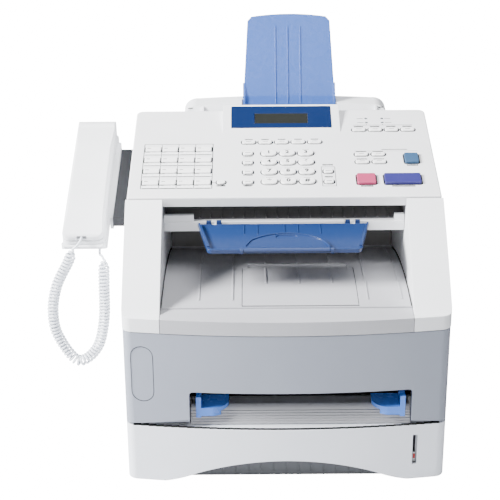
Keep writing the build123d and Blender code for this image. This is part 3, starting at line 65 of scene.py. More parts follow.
# ---------------------------------------------------------------- the frames pieces are drawn in
# The frame's origin lies under the front left foot; body_frame stands at the middle of the body.
# In panel_frame x runs across the panel, v (its Y axis) up the slope and z out of it.
BODY_MIDDLE = Vector((140.0, 120.0, 0.0)) * MM
PANEL_FRONT = Vector((0.0, -65.0, 290.0)) * MM
PANEL_SLOPE = math.atan2(31.0, 198.0)
SILL_TOP = -34.0
CATCH_TRAY_HINGE = Vector((0.0, 0.4, SILL_TOP - 3.2)) * MM
CATCH_TRAY_SLOPE = math.radians(6)
HANDSET_PLACE = Vector((-226.8, -66.0, 247.0)) * MM
HANDSET_SLOPE = math.radians(13.6)


def leaning(place, slope):
    """A frame at a place, turned about its own X axis."""
    return Matrix.Translation(place) @ Matrix.Rotation(slope, 4, "X")


body_frame = Matrix.Translation(BODY_MIDDLE)
panel_frame = body_frame @ leaning(PANEL_FRONT, PANEL_SLOPE)
tray_frame = leaning(panel_frame @ CATCH_TRAY_HINGE, CATCH_TRAY_SLOPE)
handset_frame = body_frame @ leaning(HANDSET_PLACE, HANDSET_SLOPE)


# ---------------------------------------------------------------- node helpers
EDGE_RADIUS = 0.0006


def new_material(name):
    """A material with its shader node, its nodes and its links."""
    material = bpy.data.materials.new(name)
    material.use_nodes = True
    nodes = material.node_tree.nodes
    return material, nodes["Principled BSDF"], nodes, material.node_tree.links


def add(nodes, kind, **settings):
    """A shader node with some of its settings and inputs filled in."""
    node = nodes.new(kind)
    for key, value in settings.items():
        if hasattr(node, key):
            setattr(node, key, value)
        else:
            node.inputs[key.replace("_", " ")].default_value = value
    return node


def noise(nodes, links, scale, detail=2.0):
    """Noise in the frame's own metres, so its grain has a real size."""
    place = add(nodes, "ShaderNodeTexCoord")
    texture = add(nodes, "ShaderNodeTexNoise", Scale=scale, Detail=detail)
    links.new(place.outputs["Object"], texture.inputs["Vector"])
    return texture.outputs["Fac"]


def vary_colour(nodes, links, shader, colour, amount, scale):
    """Slow, slight changes of shade over the surface."""
    ramp = nodes.new("ShaderNodeValToRGB")
    ramp.color_ramp.elements[0].position = 0.3
    ramp.color_ramp.elements[1].position = 0.7
    ramp.color_ramp.elements[0].color = [c * (1 - amount) for c in colour] + [1]
    ramp.color_ramp.elements[1].color = [min(1.0, c * (1 + amount)) for c in colour] + [1]
    links.new(noise(nodes, links, scale), ramp.inputs["Fac"])
    links.new(ramp.outputs["Color"], shader.inputs["Base Color"])


def vary_roughness(nodes, links, shader, low, high, scale):
    """A roughness that wanders between two values, as handled plastic does."""
    span = nodes.new("ShaderNodeMapRange")
    span.inputs["To Min"].default_value = low
    span.inputs["To Max"].default_value = high
    links.new(noise(nodes, links, scale), span.inputs["Value"])
    links.new(span.outputs["Result"], shader.inputs["Roughness"])


def grain(nodes, links, shader, scale, height, strength):
    """A fine moulded grain over edges that are softened by a small radius."""
    bevel = add(nodes, "ShaderNodeBevel", samples=4, Radius=EDGE_RADIUS)
    bump = add(nodes, "ShaderNodeBump", Strength=strength, Distance=height)
    links.new(noise(nodes, links, scale, 3.0), bump.inputs["Height"])
    links.new(bevel.outputs["Normal"], bump.inputs["Normal"])
    links.new(bump.outputs["Normal"], shader.inputs["Normal"])


def plastic(name, colour, rough=0.42, grain_scale=1500.0, grain_strength=0.25, shine=0.4):
    """Moulded plastic with a fine grain."""
    material, shader, nodes, links = new_material(name)
    vary_colour(nodes, links, shader, colour, 0.02, 14.0)
    vary_roughness(nodes, links, shader, rough - 0.05, rough + 0.06, 60.0)
    grain(nodes, links, shader, grain_scale, 0.00012, grain_strength)
    shader.inputs["Specular IOR Level"].default_value = shine
    return material


def clear_plastic(name, colour, through):
    """Tinted plastic that lets some light through and scatters it."""
    material, shader, nodes, links = new_material(name)
    vary_colour(nodes, links, shader, colour, 0.04, 9.0)
    vary_roughness(nodes, links, shader, 0.22, 0.32, 50.0)
    grain(nodes, links, shader, 700.0, 0.0001, 0.12)
    glow = add(nodes, "ShaderNodeBsdfTranslucent", Color=list(colour) + [1])
    see = add(nodes, "ShaderNodeBsdfTransparent", Color=[0.55 + 0.45 * c for c in colour] + [1])
    soft = nodes.new("ShaderNodeMixShader")
    mixed = nodes.new("ShaderNodeMixShader")
    soft.inputs["Fac"].default_value = 0.45
    mixed.inputs["Fac"].default_value = through
    output = nodes["Material Output"]
    links.new(shader.outputs["BSDF"], soft.inputs[1])
    links.new(glow.outputs["BSDF"], soft.inputs[2])
    links.new(soft.outputs["Shader"], mixed.inputs[1])
    links.new(see.outputs["BSDF"], mixed.inputs[2])
    links.new(mixed.outputs["Shader"], output.inputs["Surface"])
    return material


def metal(name, colour, rough):
    """Sheet metal with a directional brushed grain."""
    material, shader, nodes, links = new_material(name)
    vary_colour(nodes, links, shader, colour, 0.06, 20.0)
    place = nodes.new("ShaderNodeTexCoord")
    stretch = nodes.new("ShaderNodeMapping")
    stretch.inputs["Scale"].default_value = (12, 900, 900)
    streaks = add(nodes, "ShaderNodeTexNoise", Scale=1.0, Detail=4.0)
    span = nodes.new("ShaderNodeMapRange")
    span.inputs["To Min"].default_value = rough - 0.1
    span.inputs["To Max"].default_value = rough + 0.12
    links.new(place.outputs["Object"], stretch.inputs["Vector"])
    links.new(stretch.outputs["Vector"], streaks.inputs["Vector"])
    links.new(streaks.outputs["Fac"], span.inputs["Value"])
    links.new(span.outputs["Result"], shader.inputs["Roughness"])
    shader.inputs["Metallic"].default_value = 1.0
    return material


def circuit_board(name):
    """Green lacquer over fine copper tracks."""
    material, shader, nodes, links = new_material(name)
    place = nodes.new("ShaderNodeTexCoord")
    bricks = add(nodes, "ShaderNodeTexBrick", Scale=160.0)
    bricks.inputs["Color1"].default_value = (0.015, 0.10, 0.045, 1)
    bricks.inputs["Color2"].default_value = (0.020, 0.13, 0.060, 1)
    bricks.inputs["Mortar"].default_value = (0.06, 0.24, 0.10, 1)
    links.new(place.outputs["Object"], bricks.inputs["Vector"])
    links.new(bricks.outputs["Color"], shader.inputs["Base Color"])
    vary_roughness(nodes, links, shader, 0.25, 0.4, 80.0)
    grain(nodes, links, shader, 1200.0, 0.0001, 0.2)
    return material


def display_glass(name):
    """A dark display under glass, with a faint row and column pattern."""
    material, shader, nodes, links = new_material(name)
    place = nodes.new("ShaderNodeTexCoord")
    checks = add(nodes, "ShaderNodeTexChecker", Scale=1400.0)
    checks.inputs["Color1"].default_value = (0.016, 0.018, 0.015, 1)
    checks.inputs["Color2"].default_value = (0.011, 0.012, 0.010, 1)
    links.new(place.outputs["Object"], checks.inputs["Vector"])
    links.new(checks.outputs["Color"], shader.inputs["Base Color"])
    vary_roughness(nodes, links, shader, 0.10, 0.18, 30.0)
    shader.inputs["Coat Weight"].default_value = 0.6
    return material


def print_and_shade(name, colour):
    """A matt colour that wanders a little, for print and for the painted shade lines in gaps."""
    material, shader, nodes, links = new_material(name)
    vary_colour(nodes, links, shader, colour, 0.12, 400.0)
    vary_roughness(nodes, links, shader, 0.5, 0.65, 200.0)
    return material


def rubber(name, colour):
    """Matt rubber with a coarse grain."""
    return plastic(name, colour, rough=0.78, grain_scale=900.0, grain_strength=0.5, shine=0.25)


def keytop(name, colour):
    """A key's satin plastic."""
    return plastic(name, colour, rough=0.37, grain_strength=0.15)


materials = {
    "case_white": plastic("case_white", (0.78, 0.79, 0.81)),
    "panel_white": plastic("panel_white", (0.78, 0.785, 0.80)),
    "tray_white": plastic("tray_white", (0.38, 0.382, 0.405), rough=0.36),
    "cover_grey": plastic("cover_grey", (0.25, 0.27, 0.32)),
    "drawer_white": plastic("drawer_white", (0.74, 0.765, 0.82)),
    "catch_blue": plastic("catch_blue", (0.010, 0.029, 0.105), rough=0.30, shine=0.5),
    "guide_blue": plastic("guide_blue", (0.06, 0.18, 0.60), rough=0.26, shine=0.5),
    "clear_blue": clear_plastic("clear_blue", (0.07, 0.165, 0.50), 0.11),
    "bezel_blue": plastic("bezel_blue", (0.004, 0.014, 0.06), rough=0.24, shine=0.4),
    "display_glass": display_glass("display_glass"),
    "key_white": keytop("key_white", (0.90, 0.90, 0.905)),
    "stop_pink": keytop("stop_pink", (0.38, 0.045, 0.12)),
    "start_indigo": keytop("start_indigo", (0.026, 0.024, 0.145)),
    "copy_blue": keytop("copy_blue", (0.032, 0.080, 0.16)),
    "inside_grey": plastic("inside_grey", (0.10, 0.105, 0.115), rough=0.5),
    "arm_grey": plastic("arm_grey", (0.032, 0.033, 0.037), rough=0.45),
    "cord_white": plastic("cord_white", (0.70, 0.73, 0.78), rough=0.34, grain_strength=0.1),
    "soft_rubber": rubber("soft_rubber", (0.02, 0.02, 0.022)),
    "steel_plate": metal("steel_plate", (0.50, 0.51, 0.52), 0.38),
    "screw_steel": metal("screw_steel", (0.42, 0.42, 0.43), 0.30),
    "board_green": circuit_board("board_green"),
    "sensor_glass": display_glass("sensor_glass"),
    "roller_steel": metal("roller_steel", (0.55, 0.55, 0.56), 0.25),
    "grey_ink": print_and_shade("grey_ink", (0.004, 0.0042, 0.005)),
    # Painted shade: the thin dark lines in the gaps round the keys and the blanking plate and along the
    # output tray floor's sides.
    "gap_shade_line": print_and_shade("gap_shade_line", (0.008, 0.0085, 0.010)),
    "pale_ink": print_and_shade("pale_ink", (0.02, 0.021, 0.024)),
    # Painted shade: the dark blue lines inside the catch tray's rims.
    "catch_tray_shade_blue": print_and_shade("catch_tray_shade_blue", (0.006, 0.016, 0.06)),
    # Painted shade: the dark bands in the gaps round the output flap, the front cover and the handset's
    # halves.
    "gap_shade_black": plastic("gap_shade_black", (0.014, 0.014, 0.015), rough=0.6, shine=0.2),
    # Painted shade: the grey of the deep cavity behind the output tray, and in part of the document
    # exit's slot.
    "recess_shade_grey": plastic("recess_shade_grey", (0.16, 0.157, 0.16), rough=0.6, shine=0.2),
    "label_paper": print_and_shade("label_paper", (0.86, 0.87, 0.88)),
    "lens_smoke": plastic(
        "lens_smoke", (0.10, 0.11, 0.12), rough=0.12, grain_strength=0.02, shine=0.6
    ),
    "pointer_red": plastic("pointer_red", (0.32, 0.012, 0.012), rough=0.35),
}


# ---------------------------------------------------------------- CAD nodes
# The widths of the softened edges in millimetres. Keys take KEY_BEVEL; every other node stays sharp.
KEY_BEVEL = 0.25
BEVEL_WIDTHS = {
    "handset_shell": 1.2, "handset_inner": 1.0, "handset_cradle": 1.4, "control_panel": 0.7,
    "document_tray": 0.9, "paper_cassette": 0.9, "front_cover": 0.9, "output_tray": 0.7,
    "left_side_cover": 1.2, "right_side_cover": 1.2, "document_output_tray": 0.6,
    "document_tray_tongue": 0.4, "output_flap": 0.5, "scanner_frame": 0.8, "blanking_plate": 0.5,
    "left_feed_guide": 0.7, "right_feed_guide": 0.7, "lcd_bezel": 0.3, "document_support": 0.5,
}


def shade_smooth(mesh):
    """Smooth shading on every face of a mesh."""
    for polygon in mesh.polygons:
        polygon.use_smooth = True


def soften(node, width):
    """Rounds a CAD node's sharp edges with modifiers; its points stay where they are."""
    shade_smooth(node.data)
    weld = node.modifiers.new("join_seams", "WELD")
    weld.merge_threshold = 0.00001
    merge = node.modifiers.new("merge_flat_faces", "DECIMATE")
    merge.decimate_type = "DISSOLVE"
    merge.angle_limit = math.radians(0.5)
    bevel = node.modifiers.new("soft_edges", "BEVEL")
    bevel.width = width * MM
    bevel.segments = 2
    bevel.limit_method = "ANGLE"
    bevel.angle_limit = math.radians(32)
    bevel.use_clamp_overlap = True
    normals = node.modifiers.new("even_shading", "WEIGHTED_NORMAL")
    normals.keep_sharp = False
    normals.weight = 60


def dress_cad_nodes():
    """Gives every CAD node its material slot's material, and soft edges where they show."""
    slots = {row["node"]: row["material_slot"] for row in frame["record"]["subparts"]}
    for name, node in frame["nodes"].items():
        node.data.materials.clear()
        node.data.materials.append(materials[slots[name]])
        if name in BEVEL_WIDTHS:
            soften(node, BEVEL_WIDTHS[name])
        elif name.endswith(("_key", "_keys")) or name.startswith("number_key"):
            soften(node, KEY_BEVEL)


# ---------------------------------------------------------------- piece helpers
PRINT_TOP = 0.03
PRINT_DEPTH = 0.06
WORD_GAP = 0.2


def finish_piece(name, mesh, body, material, place=None, smooth=False):
    """Links a mesh as a named piece that rides on a CAD body."""
    piece = bpy.data.objects.new(name, mesh)
    bpy.context.scene.collection.objects.link(piece)
    if place is not None:
        piece.matrix_world = place
    mesh.materials.clear()
    mesh.materials.append(materials[material])
    if smooth:
        shade_smooth(mesh)
    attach(piece, body)


def finish_shape(name, shape, body, material, place):
    """The same for a bmesh, whose mesh takes the piece's name."""
    finish_piece(name, mesh_from(shape, name), body, material, place)


def add_box(shape, x0, x1, y0, y1, z0, z1):
    """A block in a bmesh, from sizes in millimetres."""
    places = [(x, y, z) for z in (z0, z1) for y in (y0, y1) for x in (x0, x1)]
    corners = [shape.verts.new(Vector(place) * MM) for place in places]
    for quad in ((0, 2, 3, 1), (4, 5, 7, 6), (0, 1, 5, 4), (2, 6, 7, 3), (0, 4, 6, 2), (1, 3, 7, 5)):
        shape.faces.new([corners[i] for i in quad])


def add_band(shape, inner, outer):
    """A closed flat band in a bmesh between two loops of points in millimetres."""
    rings = [[shape.verts.new(Vector(point) * MM) for point in loop] for loop in (inner, outer)]
    for k in range(len(inner)):
        after = (k + 1) % len(inner)
        shape.faces.new((rings[0][k], rings[1][k], rings[1][after], rings[0][after]))


def add_ribbon(shape, points, width, z):
    """A flat ribbon in a bmesh along a line of (x, y) points in millimetres, at height z."""
    for (x0, y0), (x1, y1) in zip(points, points[1:]):
        across = Vector((y0 - y1, x1 - x0, 0)).normalized() * width / 2
        ends = [Vector((x0, y0, z)), Vector((x1, y1, z))]
        corners = [ends[0] - across, ends[1] - across, ends[1] + across, ends[0] + across]
        shape.faces.new([shape.verts.new(corner * MM) for corner in corners])


def mesh_from(shape, name):
    """A mesh with the bmesh's contents."""
    mesh = bpy.data.meshes.new(name)
    bmesh.ops.recalc_face_normals(shape, faces=shape.faces)
    shape.to_mesh(mesh)
    shape.free()
    return mesh


def word(shape, x, v, width, height=2.9):
    """A run of short dashes that stands for a printed word, centred on x."""
    at = x - width / 2
    while at < x + width / 2:
        length = min(chance.uniform(0.6, 1.3), x + width / 2 - at)
        low, high = v - height / 2, v + height / 2
        add_box(shape, at, at + length, low, high, PRINT_TOP - PRINT_DEPTH, PRINT_TOP)
        at += length + WORD_GAP


def stroke(shape, x0, v0, x1, v1, width=0.7, top=PRINT_TOP):
    """A thin printed line along a row or a column of the panel."""
    left, right = sorted((x0, x1))
    low, high = sorted((v0, v1))
    half = width / 2
    add_box(shape, left - half, right + half, low - half, high + half, top - PRINT_DEPTH, top)


def outline(shape, x0, x1, v0, v1, width=0.7):
    """A printed rectangle."""
    for v in (v0, v1):
        stroke(shape, x0, v, x1, v, width)
    for x in (x0, x1):
        stroke(shape, x, v0, x, v1, width)


def text_mesh(text, size):
    """A flat mesh of a generic sign, such as a digit, in millimetre size."""
    curve = bpy.data.curves.new("sign", "FONT")
    curve.body = text
    curve.size = size * MM
    curve.align_x = "CENTER"
    curve.align_y = "CENTER"
    curve.extrude = 0.03 * MM
    curve.offset = 0.35 * MM
    holder = bpy.data.objects.new("sign", curve)
    bpy.context.scene.collection.objects.link(holder)
    graph = bpy.context.evaluated_depsgraph_get()
    mesh = bpy.data.meshes.new_from_object(holder.evaluated_get(graph))
    bpy.data.objects.remove(holder)
    return mesh


# ---------------------------------------------------------------- control panel print
# Places on the panel in millimetres, along x and v.
TOUCH_LEFT = -160.2
TOUCH_PITCH = 19.6
TOUCH_ROWS = (105.8, 81.4, 56.8, 31.4)
TOUCH_COLUMNS = [TOUCH_LEFT + TOUCH_PITCH * (column + 0.5) for column in range(4)]
TOUCH_KEYS = [(x, v) for x in TOUCH_COLUMNS for v in TOUCH_ROWS]
SHIFT_COLUMN = -70.6
SHIFT_ROW = 31.4
NUMBER_ROWS = (95.3, 74.8, 53.4, 32.3)
NUMBER_COLUMNS = (-16.0, 5.4, 26.8)
NAVIGATION_COLUMNS = (-39.2, -19.8, -0.4, 19.0, 38.4)
NAVIGATION_KEYS = [(x, 121.5) for x in NAVIGATION_COLUMNS]
FUNCTION_COLUMN = -40.3
FUNCTION_ROWS = (95.3, 74.8, 53.2, 31.2)
FUNCTION_KEYS = [(FUNCTION_COLUMN, v) for v in FUNCTION_ROWS]
VOLUME_COLUMN = 51.2
VOLUME_KEYS = [(VOLUME_COLUMN, v) for v in (53.8, 31.4)]
MODE_COLUMNS = (92.2, 111.6, 131.0, 150.4)
MODE_KEYS = [(x, 149.6) for x in MODE_COLUMNS]
COPY_OPTION_KEYS = [(x, v) for v in (91.8, 74.6) for x in (91.4, 110.9)]
STOP_KEY = (93.4, 35.4)
START_KEY = (134.4, 35.2)
COPY_KEY = (148.4, 80.8)
STATUS_COLUMNS = (102.2, 121.4)
STATUS_ROWS = (177.6, 167.6)
# Each group of equal keys: its places, then width, height and corner radius.
KEY_GROUPS = [
    (TOUCH_KEYS, 18.0, 9.4, 1.6),
    ([(SHIFT_COLUMN, SHIFT_ROW)], 9.6, 7.6, 3.7),
    ([(x, v) for x in NUMBER_COLUMNS for v in NUMBER_ROWS], 17.6, 11.6, 5.4),
    (NAVIGATION_KEYS, 15.4, 7.0, 2.6),
    (FUNCTION_KEYS, 11.2, 7.4, 2.6),
    (VOLUME_KEYS, 10.4, 7.4, 2.6),
    (MODE_KEYS, 15.6, 6.8, 2.6),
    (COPY_OPTION_KEYS, 15.2, 7.0, 2.6),
    ([STOP_KEY], 20.8, 20.4, 1.6),
    ([START_KEY], 41.0, 20.6, 1.6),
    ([COPY_KEY], 15.8, 20.4, 1.6),
]
RIM_TOP = 0.04
RIM_INSIDE = 0.35
RIM_OUTSIDE = 1.7
SMALL_KEY_TOP = 1.64
LEGEND_RISE = 2.0
DIGIT_SIZE = 8.8
STAR_SIZE = 10.5
STAR_DROP = 1.6
NUMBER_SIGNS = {digit: digit for digit in "1234567890"} | {"star": "*", "hash": "#"}


def key_legends():
    """A printed sign on every dial key, riding on that key."""
    for name, sign in NUMBER_SIGNS.items():
        key = "number_key_" + name
        low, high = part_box(key)
        middle = panel_frame.inverted() @ ((low + high) / 2)
        size, drop = (STAR_SIZE, STAR_DROP) if sign == "*" else (DIGIT_SIZE, 0.0)
        place = panel_frame @ Matrix.Translation((middle.x, middle.y - drop * MM, LEGEND_RISE * MM))
        finish_piece("legend_" + name, text_mesh(sign, size), key + "_body", "grey_ink", place)


def rounded_loop(x, v, width, height, radius):
    """Points round a rounded rectangle, five to a corner."""
    loop = []
    for corner, (sx, sv) in enumerate(((1, 1), (-1, 1), (-1, -1), (1, -1))):
        cx = x + sx * (width / 2 - radius)
        cv = v + sv * (height / 2 - radius)
        for step in range(5):
            turn = math.pi / 2 * (corner + step / 4)
            loop.append((cx + radius * math.cos(turn), cv + radius * math.sin(turn)))
    return loop


def key_rims():
    """A thin dark line round every key's hole: painted shade in the gap round each key."""
    shape = bmesh.new()
    for places, width, height, radius in KEY_GROUPS:
        for x, v in places:
            loops = []
            for grow in (RIM_INSIDE, RIM_OUTSIDE):
                loop = rounded_loop(x, v, width + 2 * grow, height + 2 * grow, radius + grow)
                loops.append([(a, b, RIM_TOP) for a, b in loop])
            add_band(shape, *loops)
    finish_shape("key_rims", shape, "panel", "gap_shade_line", panel_frame)


def small_words(shape):
    """Dashes for the words above the dial and navigation keys and below the function keys."""
    for row, v in enumerate(NUMBER_ROWS):
        for column, x in enumerate(NUMBER_COLUMNS):
            if row or column:
                word(shape, x, v + 8.6, 7.5, 1.4)
    for x in NAVIGATION_COLUMNS:
        word(shape, x, 128.2, 9.0)
    for x, v in FUNCTION_KEYS:
        word(shape, x, v - 6.8, 11.0, 1.4)


def touch_print(shape):
    """The ruled frame round the one-touch keys, and the line from it to the shift key."""
    right = TOUCH_LEFT + 4 * TOUCH_PITCH
    outline(shape, TOUCH_LEFT - 0.8, right + 0.8, 19.0, 118.5, 0.9)
    for v in TOUCH_ROWS[:-1]:
        stroke(shape, TOUCH_LEFT, v - 12.2, right, v - 12.2)
    for column in range(1, 4):
        x = TOUCH_LEFT + column * TOUCH_PITCH
        stroke(shape, x, 20.0, x, 117.0, 0.6)
    stroke(shape, right + 0.8, SHIFT_ROW, SHIFT_COLUMN - 5.9, SHIFT_ROW)
    word(shape, SHIFT_COLUMN, SHIFT_ROW - 6.8, 10.0)


def volume_print(shape):
    """The frame round the volume keys, with a word above it and one between the keys."""
    outline(shape, 43.6, 59.0, 22.6, 64.5)
    word(shape, VOLUME_COLUMN, 69.0, 12.0)
    word(shape, VOLUME_COLUMN, 42.6, 9.0)


def status_print(shape):
    """The words above the mode keys and beside the status lights, and the lines between them."""
    line = 161.5
    for x in MODE_COLUMNS:
        word(shape, x, 158.0, 11.0)
    stroke(shape, 86.0, line, 156.5, line)
    for x, outwards in zip(STATUS_COLUMNS, (-7.0, 7.0)):
        for v in STATUS_ROWS:
            word(shape, x + outwards, v, 7.5, 1.3)
    for x in STATUS_COLUMNS:
        stroke(shape, x, line + 2.0, x, line)


def copy_print(shape):
    """The words above the copy option keys, under their own line and title."""
    for x, v in COPY_OPTION_KEYS:
        word(shape, x, v + 6.6, 12.0)
    stroke(shape, 84.0, 99.6, 157.0, 99.6, 0.4)
    word(shape, 130.5, 103.2, 30.0, 1.6)


def panel_print():
    """Thin printed frames, leader lines and the dashes that stand for words on the panel."""
    shape = bmesh.new()
    small_words(shape)
    touch_print(shape)
    volume_print(shape)
    status_print(shape)
    copy_print(shape)
    word(shape, COPY_KEY[0], 67.0, 13.0)
    word(shape, STOP_KEY[0], 21.8, 14.0)
    word(shape, START_KEY[0], 21.4, 26.0)
    word(shape, FUNCTION_COLUMN, 24.0, 8.0)
    finish_shape("panel_print", shape, "panel", "grey_ink", panel_frame)


def name_strips():
    """The white write-on strip below each one-touch key, with its slim printed edge."""
    half, under = 8.9, -0.04
    paper, edge = bmesh.new(), bmesh.new()
    for x, v in TOUCH_KEYS:
        add_box(paper, x - half, x + half, v - 11.4, v - 5.6, under, 0.05)
        add_box(edge, x - half, x - half + 4.5, v - 6.2, v - 4.9, under, 0.08)
        add_box(edge, x - half, x + half, v - 11.9, v - 11.1, under, 0.07)
    finish_shape("name_strips", paper, "panel", "label_paper", panel_frame)
    finish_shape("name_strip_edges", edge, "panel", "grey_ink", panel_frame)


def key_strip_marks():
    """A dash on each small key and each one-touch key."""
    groups = {
        "navigation_keys": NAVIGATION_KEYS,
        "mode_keys": MODE_KEYS,
        "copy_option_keys": COPY_OPTION_KEYS,
        "function_keys": FUNCTION_KEYS + VOLUME_KEYS,
    }
    for name, places in groups.items():
        shape = bmesh.new()
        for x, v in places:
            stroke(shape, x - 2.6, v, x + 2.6, v, 0.9, SMALL_KEY_TOP)
        finish_shape(name + "_marks", shape, name + "_body", "pale_ink", panel_frame)
    shape = bmesh.new()
    for x, v in TOUCH_KEYS:
        stroke(shape, x - 6.6, v + 1.0, x - 3.6, v + 1.0, 1.1, SMALL_KEY_TOP)
    finish_shape("one_touch_marks", shape, "one_touch_keys_body", "pale_ink", panel_frame)


def dome(radius, height, rings=5, sides=20):
    """A shallow domed lens, in millimetres."""
    shape = bmesh.new()
    loops = []
    for ring in range(rings):
        turn = ring / rings * math.pi / 2
        r, z = radius * math.cos(turn), height * math.sin(turn)
        loops.append([
            shape.verts.new((r * MM * math.cos(a), r * MM * math.sin(a), z * MM))
            for a in (2 * math.pi * side / sides for side in range(sides))
        ])
    tip = shape.verts.new((0, 0, height * MM))
    for lower, upper in zip(loops, loops[1:]):
        for side in range(sides):
            after = (side + 1) % sides
            shape.faces.new((lower[side], lower[after], upper[after], upper[side]))
    for side in range(sides):
        shape.faces.new((loops[-1][side], loops[-1][(side + 1) % sides], tip))
    return shape


def status_lenses():
    """Four smoked lenses over the status lights."""
    for index, (x, v) in enumerate((x, v) for x in STATUS_COLUMNS for v in STATUS_ROWS):
        place = panel_frame @ Matrix.Translation((x * MM, v * MM, 0.0))
        mesh = mesh_from(dome(1.9, 0.8), "status_lens")
        finish_piece(f"status_lens_{index + 1}", mesh, "panel", "lens_smoke", place, smooth=True)


# ---------------------------------------------------------------- coiled cord
def smooth_path(points, count):
    """Points along a smooth curve through the given points."""
    padded = [points[0] * 2 - points[1]] + points + [points[-1] * 2 - points[-2]]
    path = []
    spans = len(points) - 1
    for step in range(count + 1):
        along = step / count * spans
        i = min(int(along), spans - 1)
        t = along - i
        a, b, c, d = padded[i : i + 4]
        bend = 2 * a - 5 * b + 4 * c - d
        twist = 3 * b - a - 3 * c + d
        path.append(0.5 * (2 * b + (c - a) * t + bend * t**2 + twist * t**3))
    return path


def tube(shape, path, radius, sides=8):
    """A round skin along a path."""
    rings = []
    side_way = None
    for i, point in enumerate(path):
        ahead = (path[min(i + 1, len(path) - 1)] - path[max(i - 1, 0)]).normalized()
        if side_way is None:
            side_way = ahead.orthogonal()
        side_way = (side_way - ahead * side_way.dot(ahead)).normalized()
        other = ahead.cross(side_way)
        rings.append([
            shape.verts.new(point + (side_way * math.cos(a) + other * math.sin(a)) * radius)
            for a in (2 * math.pi * k / sides for k in range(sides))
        ])
    for lower, upper in zip(rings, rings[1:]):
        for k in range(sides):
            shape.faces.new((lower[k], lower[(k + 1) % sides], upper[(k + 1) % sides], upper[k]))
    shape.faces.new(rings[0])
    shape.faces.new(list(reversed(rings[-1])))


COIL_Y = -75.0
COIL_TURNS = 70
TURN_STEPS = 16
SWELL_STEPS = 40
SPINE_STEPS = 400
TAIL_STEPS = 18
COIL_RADIUS = 5.2
CORD_RADIUS = 1.45
# The middle line of the hanging coil, from below the handset's socket to below the cradle's jack.
COIL_LINE = [
    (-237.8, COIL_Y, 231.5), (-243.2, COIL_Y, 216.6), (-257.3, COIL_Y, 187.9), (-263.8, COIL_Y, 156.1),
    (-260.0, COIL_Y, 123.8), (-238.8, COIL_Y, 90.8), (-216.1, COIL_Y, 106.4), (-206.2, COIL_Y, 142.8),
    (-204.1, COIL_Y, 187.5), (-203.6, COIL_Y + 5, 216.5),
]
SOCKET_LINE = [(-227.8, -62.0, 242.2), (-228.6, -68.0, 240.3), (-231.6, -73.5, 236.8)]
JACK_LINE = [(-206.0, -64.0, 218.8), (-209.0, -56.6, 217.4), (-209.0, -53.6, 224.6)]


def evenly_spaced(path, count):
    """The path sampled again at count equal steps along its length."""
    lengths = [0.0]
    for before, after in zip(path, path[1:]):
        lengths.append(lengths[-1] + (after - before).length)
    spaced = []
    at = 0
    for step in range(count + 1):
        wanted = lengths[-1] * step / count
        while at < len(path) - 2 and lengths[at + 1] < wanted:
            at += 1
        part = (wanted - lengths[at]) / (lengths[at + 1] - lengths[at])
        spaced.append(path[at].lerp(path[at + 1], part))
    return spaced


def cord_path():
    """The cord's own line: a straight tail, the turns round the coil's middle line, a tail."""
    def placed(points):
        return [Vector(point) * MM + BODY_MIDDLE for point in points]

    steps = COIL_TURNS * TURN_STEPS
    spine = evenly_spaced(smooth_path(placed(COIL_LINE), SPINE_STEPS), steps)
    across = Vector((0, 1, 0))
    coil = []
    for i, point in enumerate(spine):
        ahead = (spine[min(i + 1, steps)] - spine[max(i - 1, 0)]).normalized()
        out = ahead.cross(across).normalized()
        turn = 2 * math.pi * COIL_TURNS * i / steps
        swell = min(1.0, 0.2 + i / SWELL_STEPS, 0.2 + (steps - i) / SWELL_STEPS)
        coil.append(point + (across * math.cos(turn) + out * math.sin(turn)) * COIL_RADIUS * MM * swell)
    head = smooth_path(placed(SOCKET_LINE) + [coil[0]], TAIL_STEPS)
    tail = smooth_path([coil[-1]] + placed(JACK_LINE), TAIL_STEPS)
    return head[:-1] + coil + tail[1:]


def coiled_cord():
    """The coiled cord from the handset's socket to the cradle's jack, fixed in its rest shape; the CAD
    node coil_cord is hidden.
    """
    shape = bmesh.new()
    path = cord_path()
    tube(shape, path, CORD_RADIUS * MM)
    piece = bpy.data.objects.new("coiled_cord", mesh_from(shape, "coiled_cord"))
    bpy.context.scene.collection.objects.link(piece)
    piece.data.materials.append(materials["cord_white"])
    shade_smooth(piece.data)
    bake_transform(piece)
    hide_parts("coil_cord")


# ---------------------------------------------------------------- smaller dress pieces
def level_pointer():
    """The red cap on the paper level pointer."""
    shape = bmesh.new()
    add_box(shape, 140.6, 143.0, -184.6, -181.8, 24.2, 30.2)
    finish_shape("level_pointer_cap", shape, "lift", "pointer_red", body_frame)


def exit_chute():
    """The dark ribbed floor and sides of the document exit, open over the image sensor: partly the
    chute's own dark plastic, partly painted shade of the deep slot.
    """
    half, front, back = 134, 8, 138
    sensor_left, sensor_right, sensor_front, sensor_back = -106, 128, 78, 106
    shape = bmesh.new()
    around_sensor = (
        (-half, half, front, sensor_front),
        (-half, half, sensor_back, back),
        (-half, sensor_left, sensor_front, sensor_back),
        (sensor_right, half, sensor_front, sensor_back),
    )
    for x0, x1, v0, v1 in around_sensor:
        add_box(shape, x0, x1, v0, v1, SILL_TOP, SILL_TOP + 0.5)
    side = 0.4
    for x in (-half, half - side):
        add_box(shape, x, x + side, front, back, SILL_TOP, SILL_TOP + 19)
    for rib in range(18):
        x = -95 + rib * 12.5
        add_box(shape, x - 0.6, x + 0.6, front + 1, sensor_front - 2, SILL_TOP + 0.4, SILL_TOP + 2.2)
    finish_shape("exit_chute", shape, "machine", "recess_shade_grey", panel_frame)


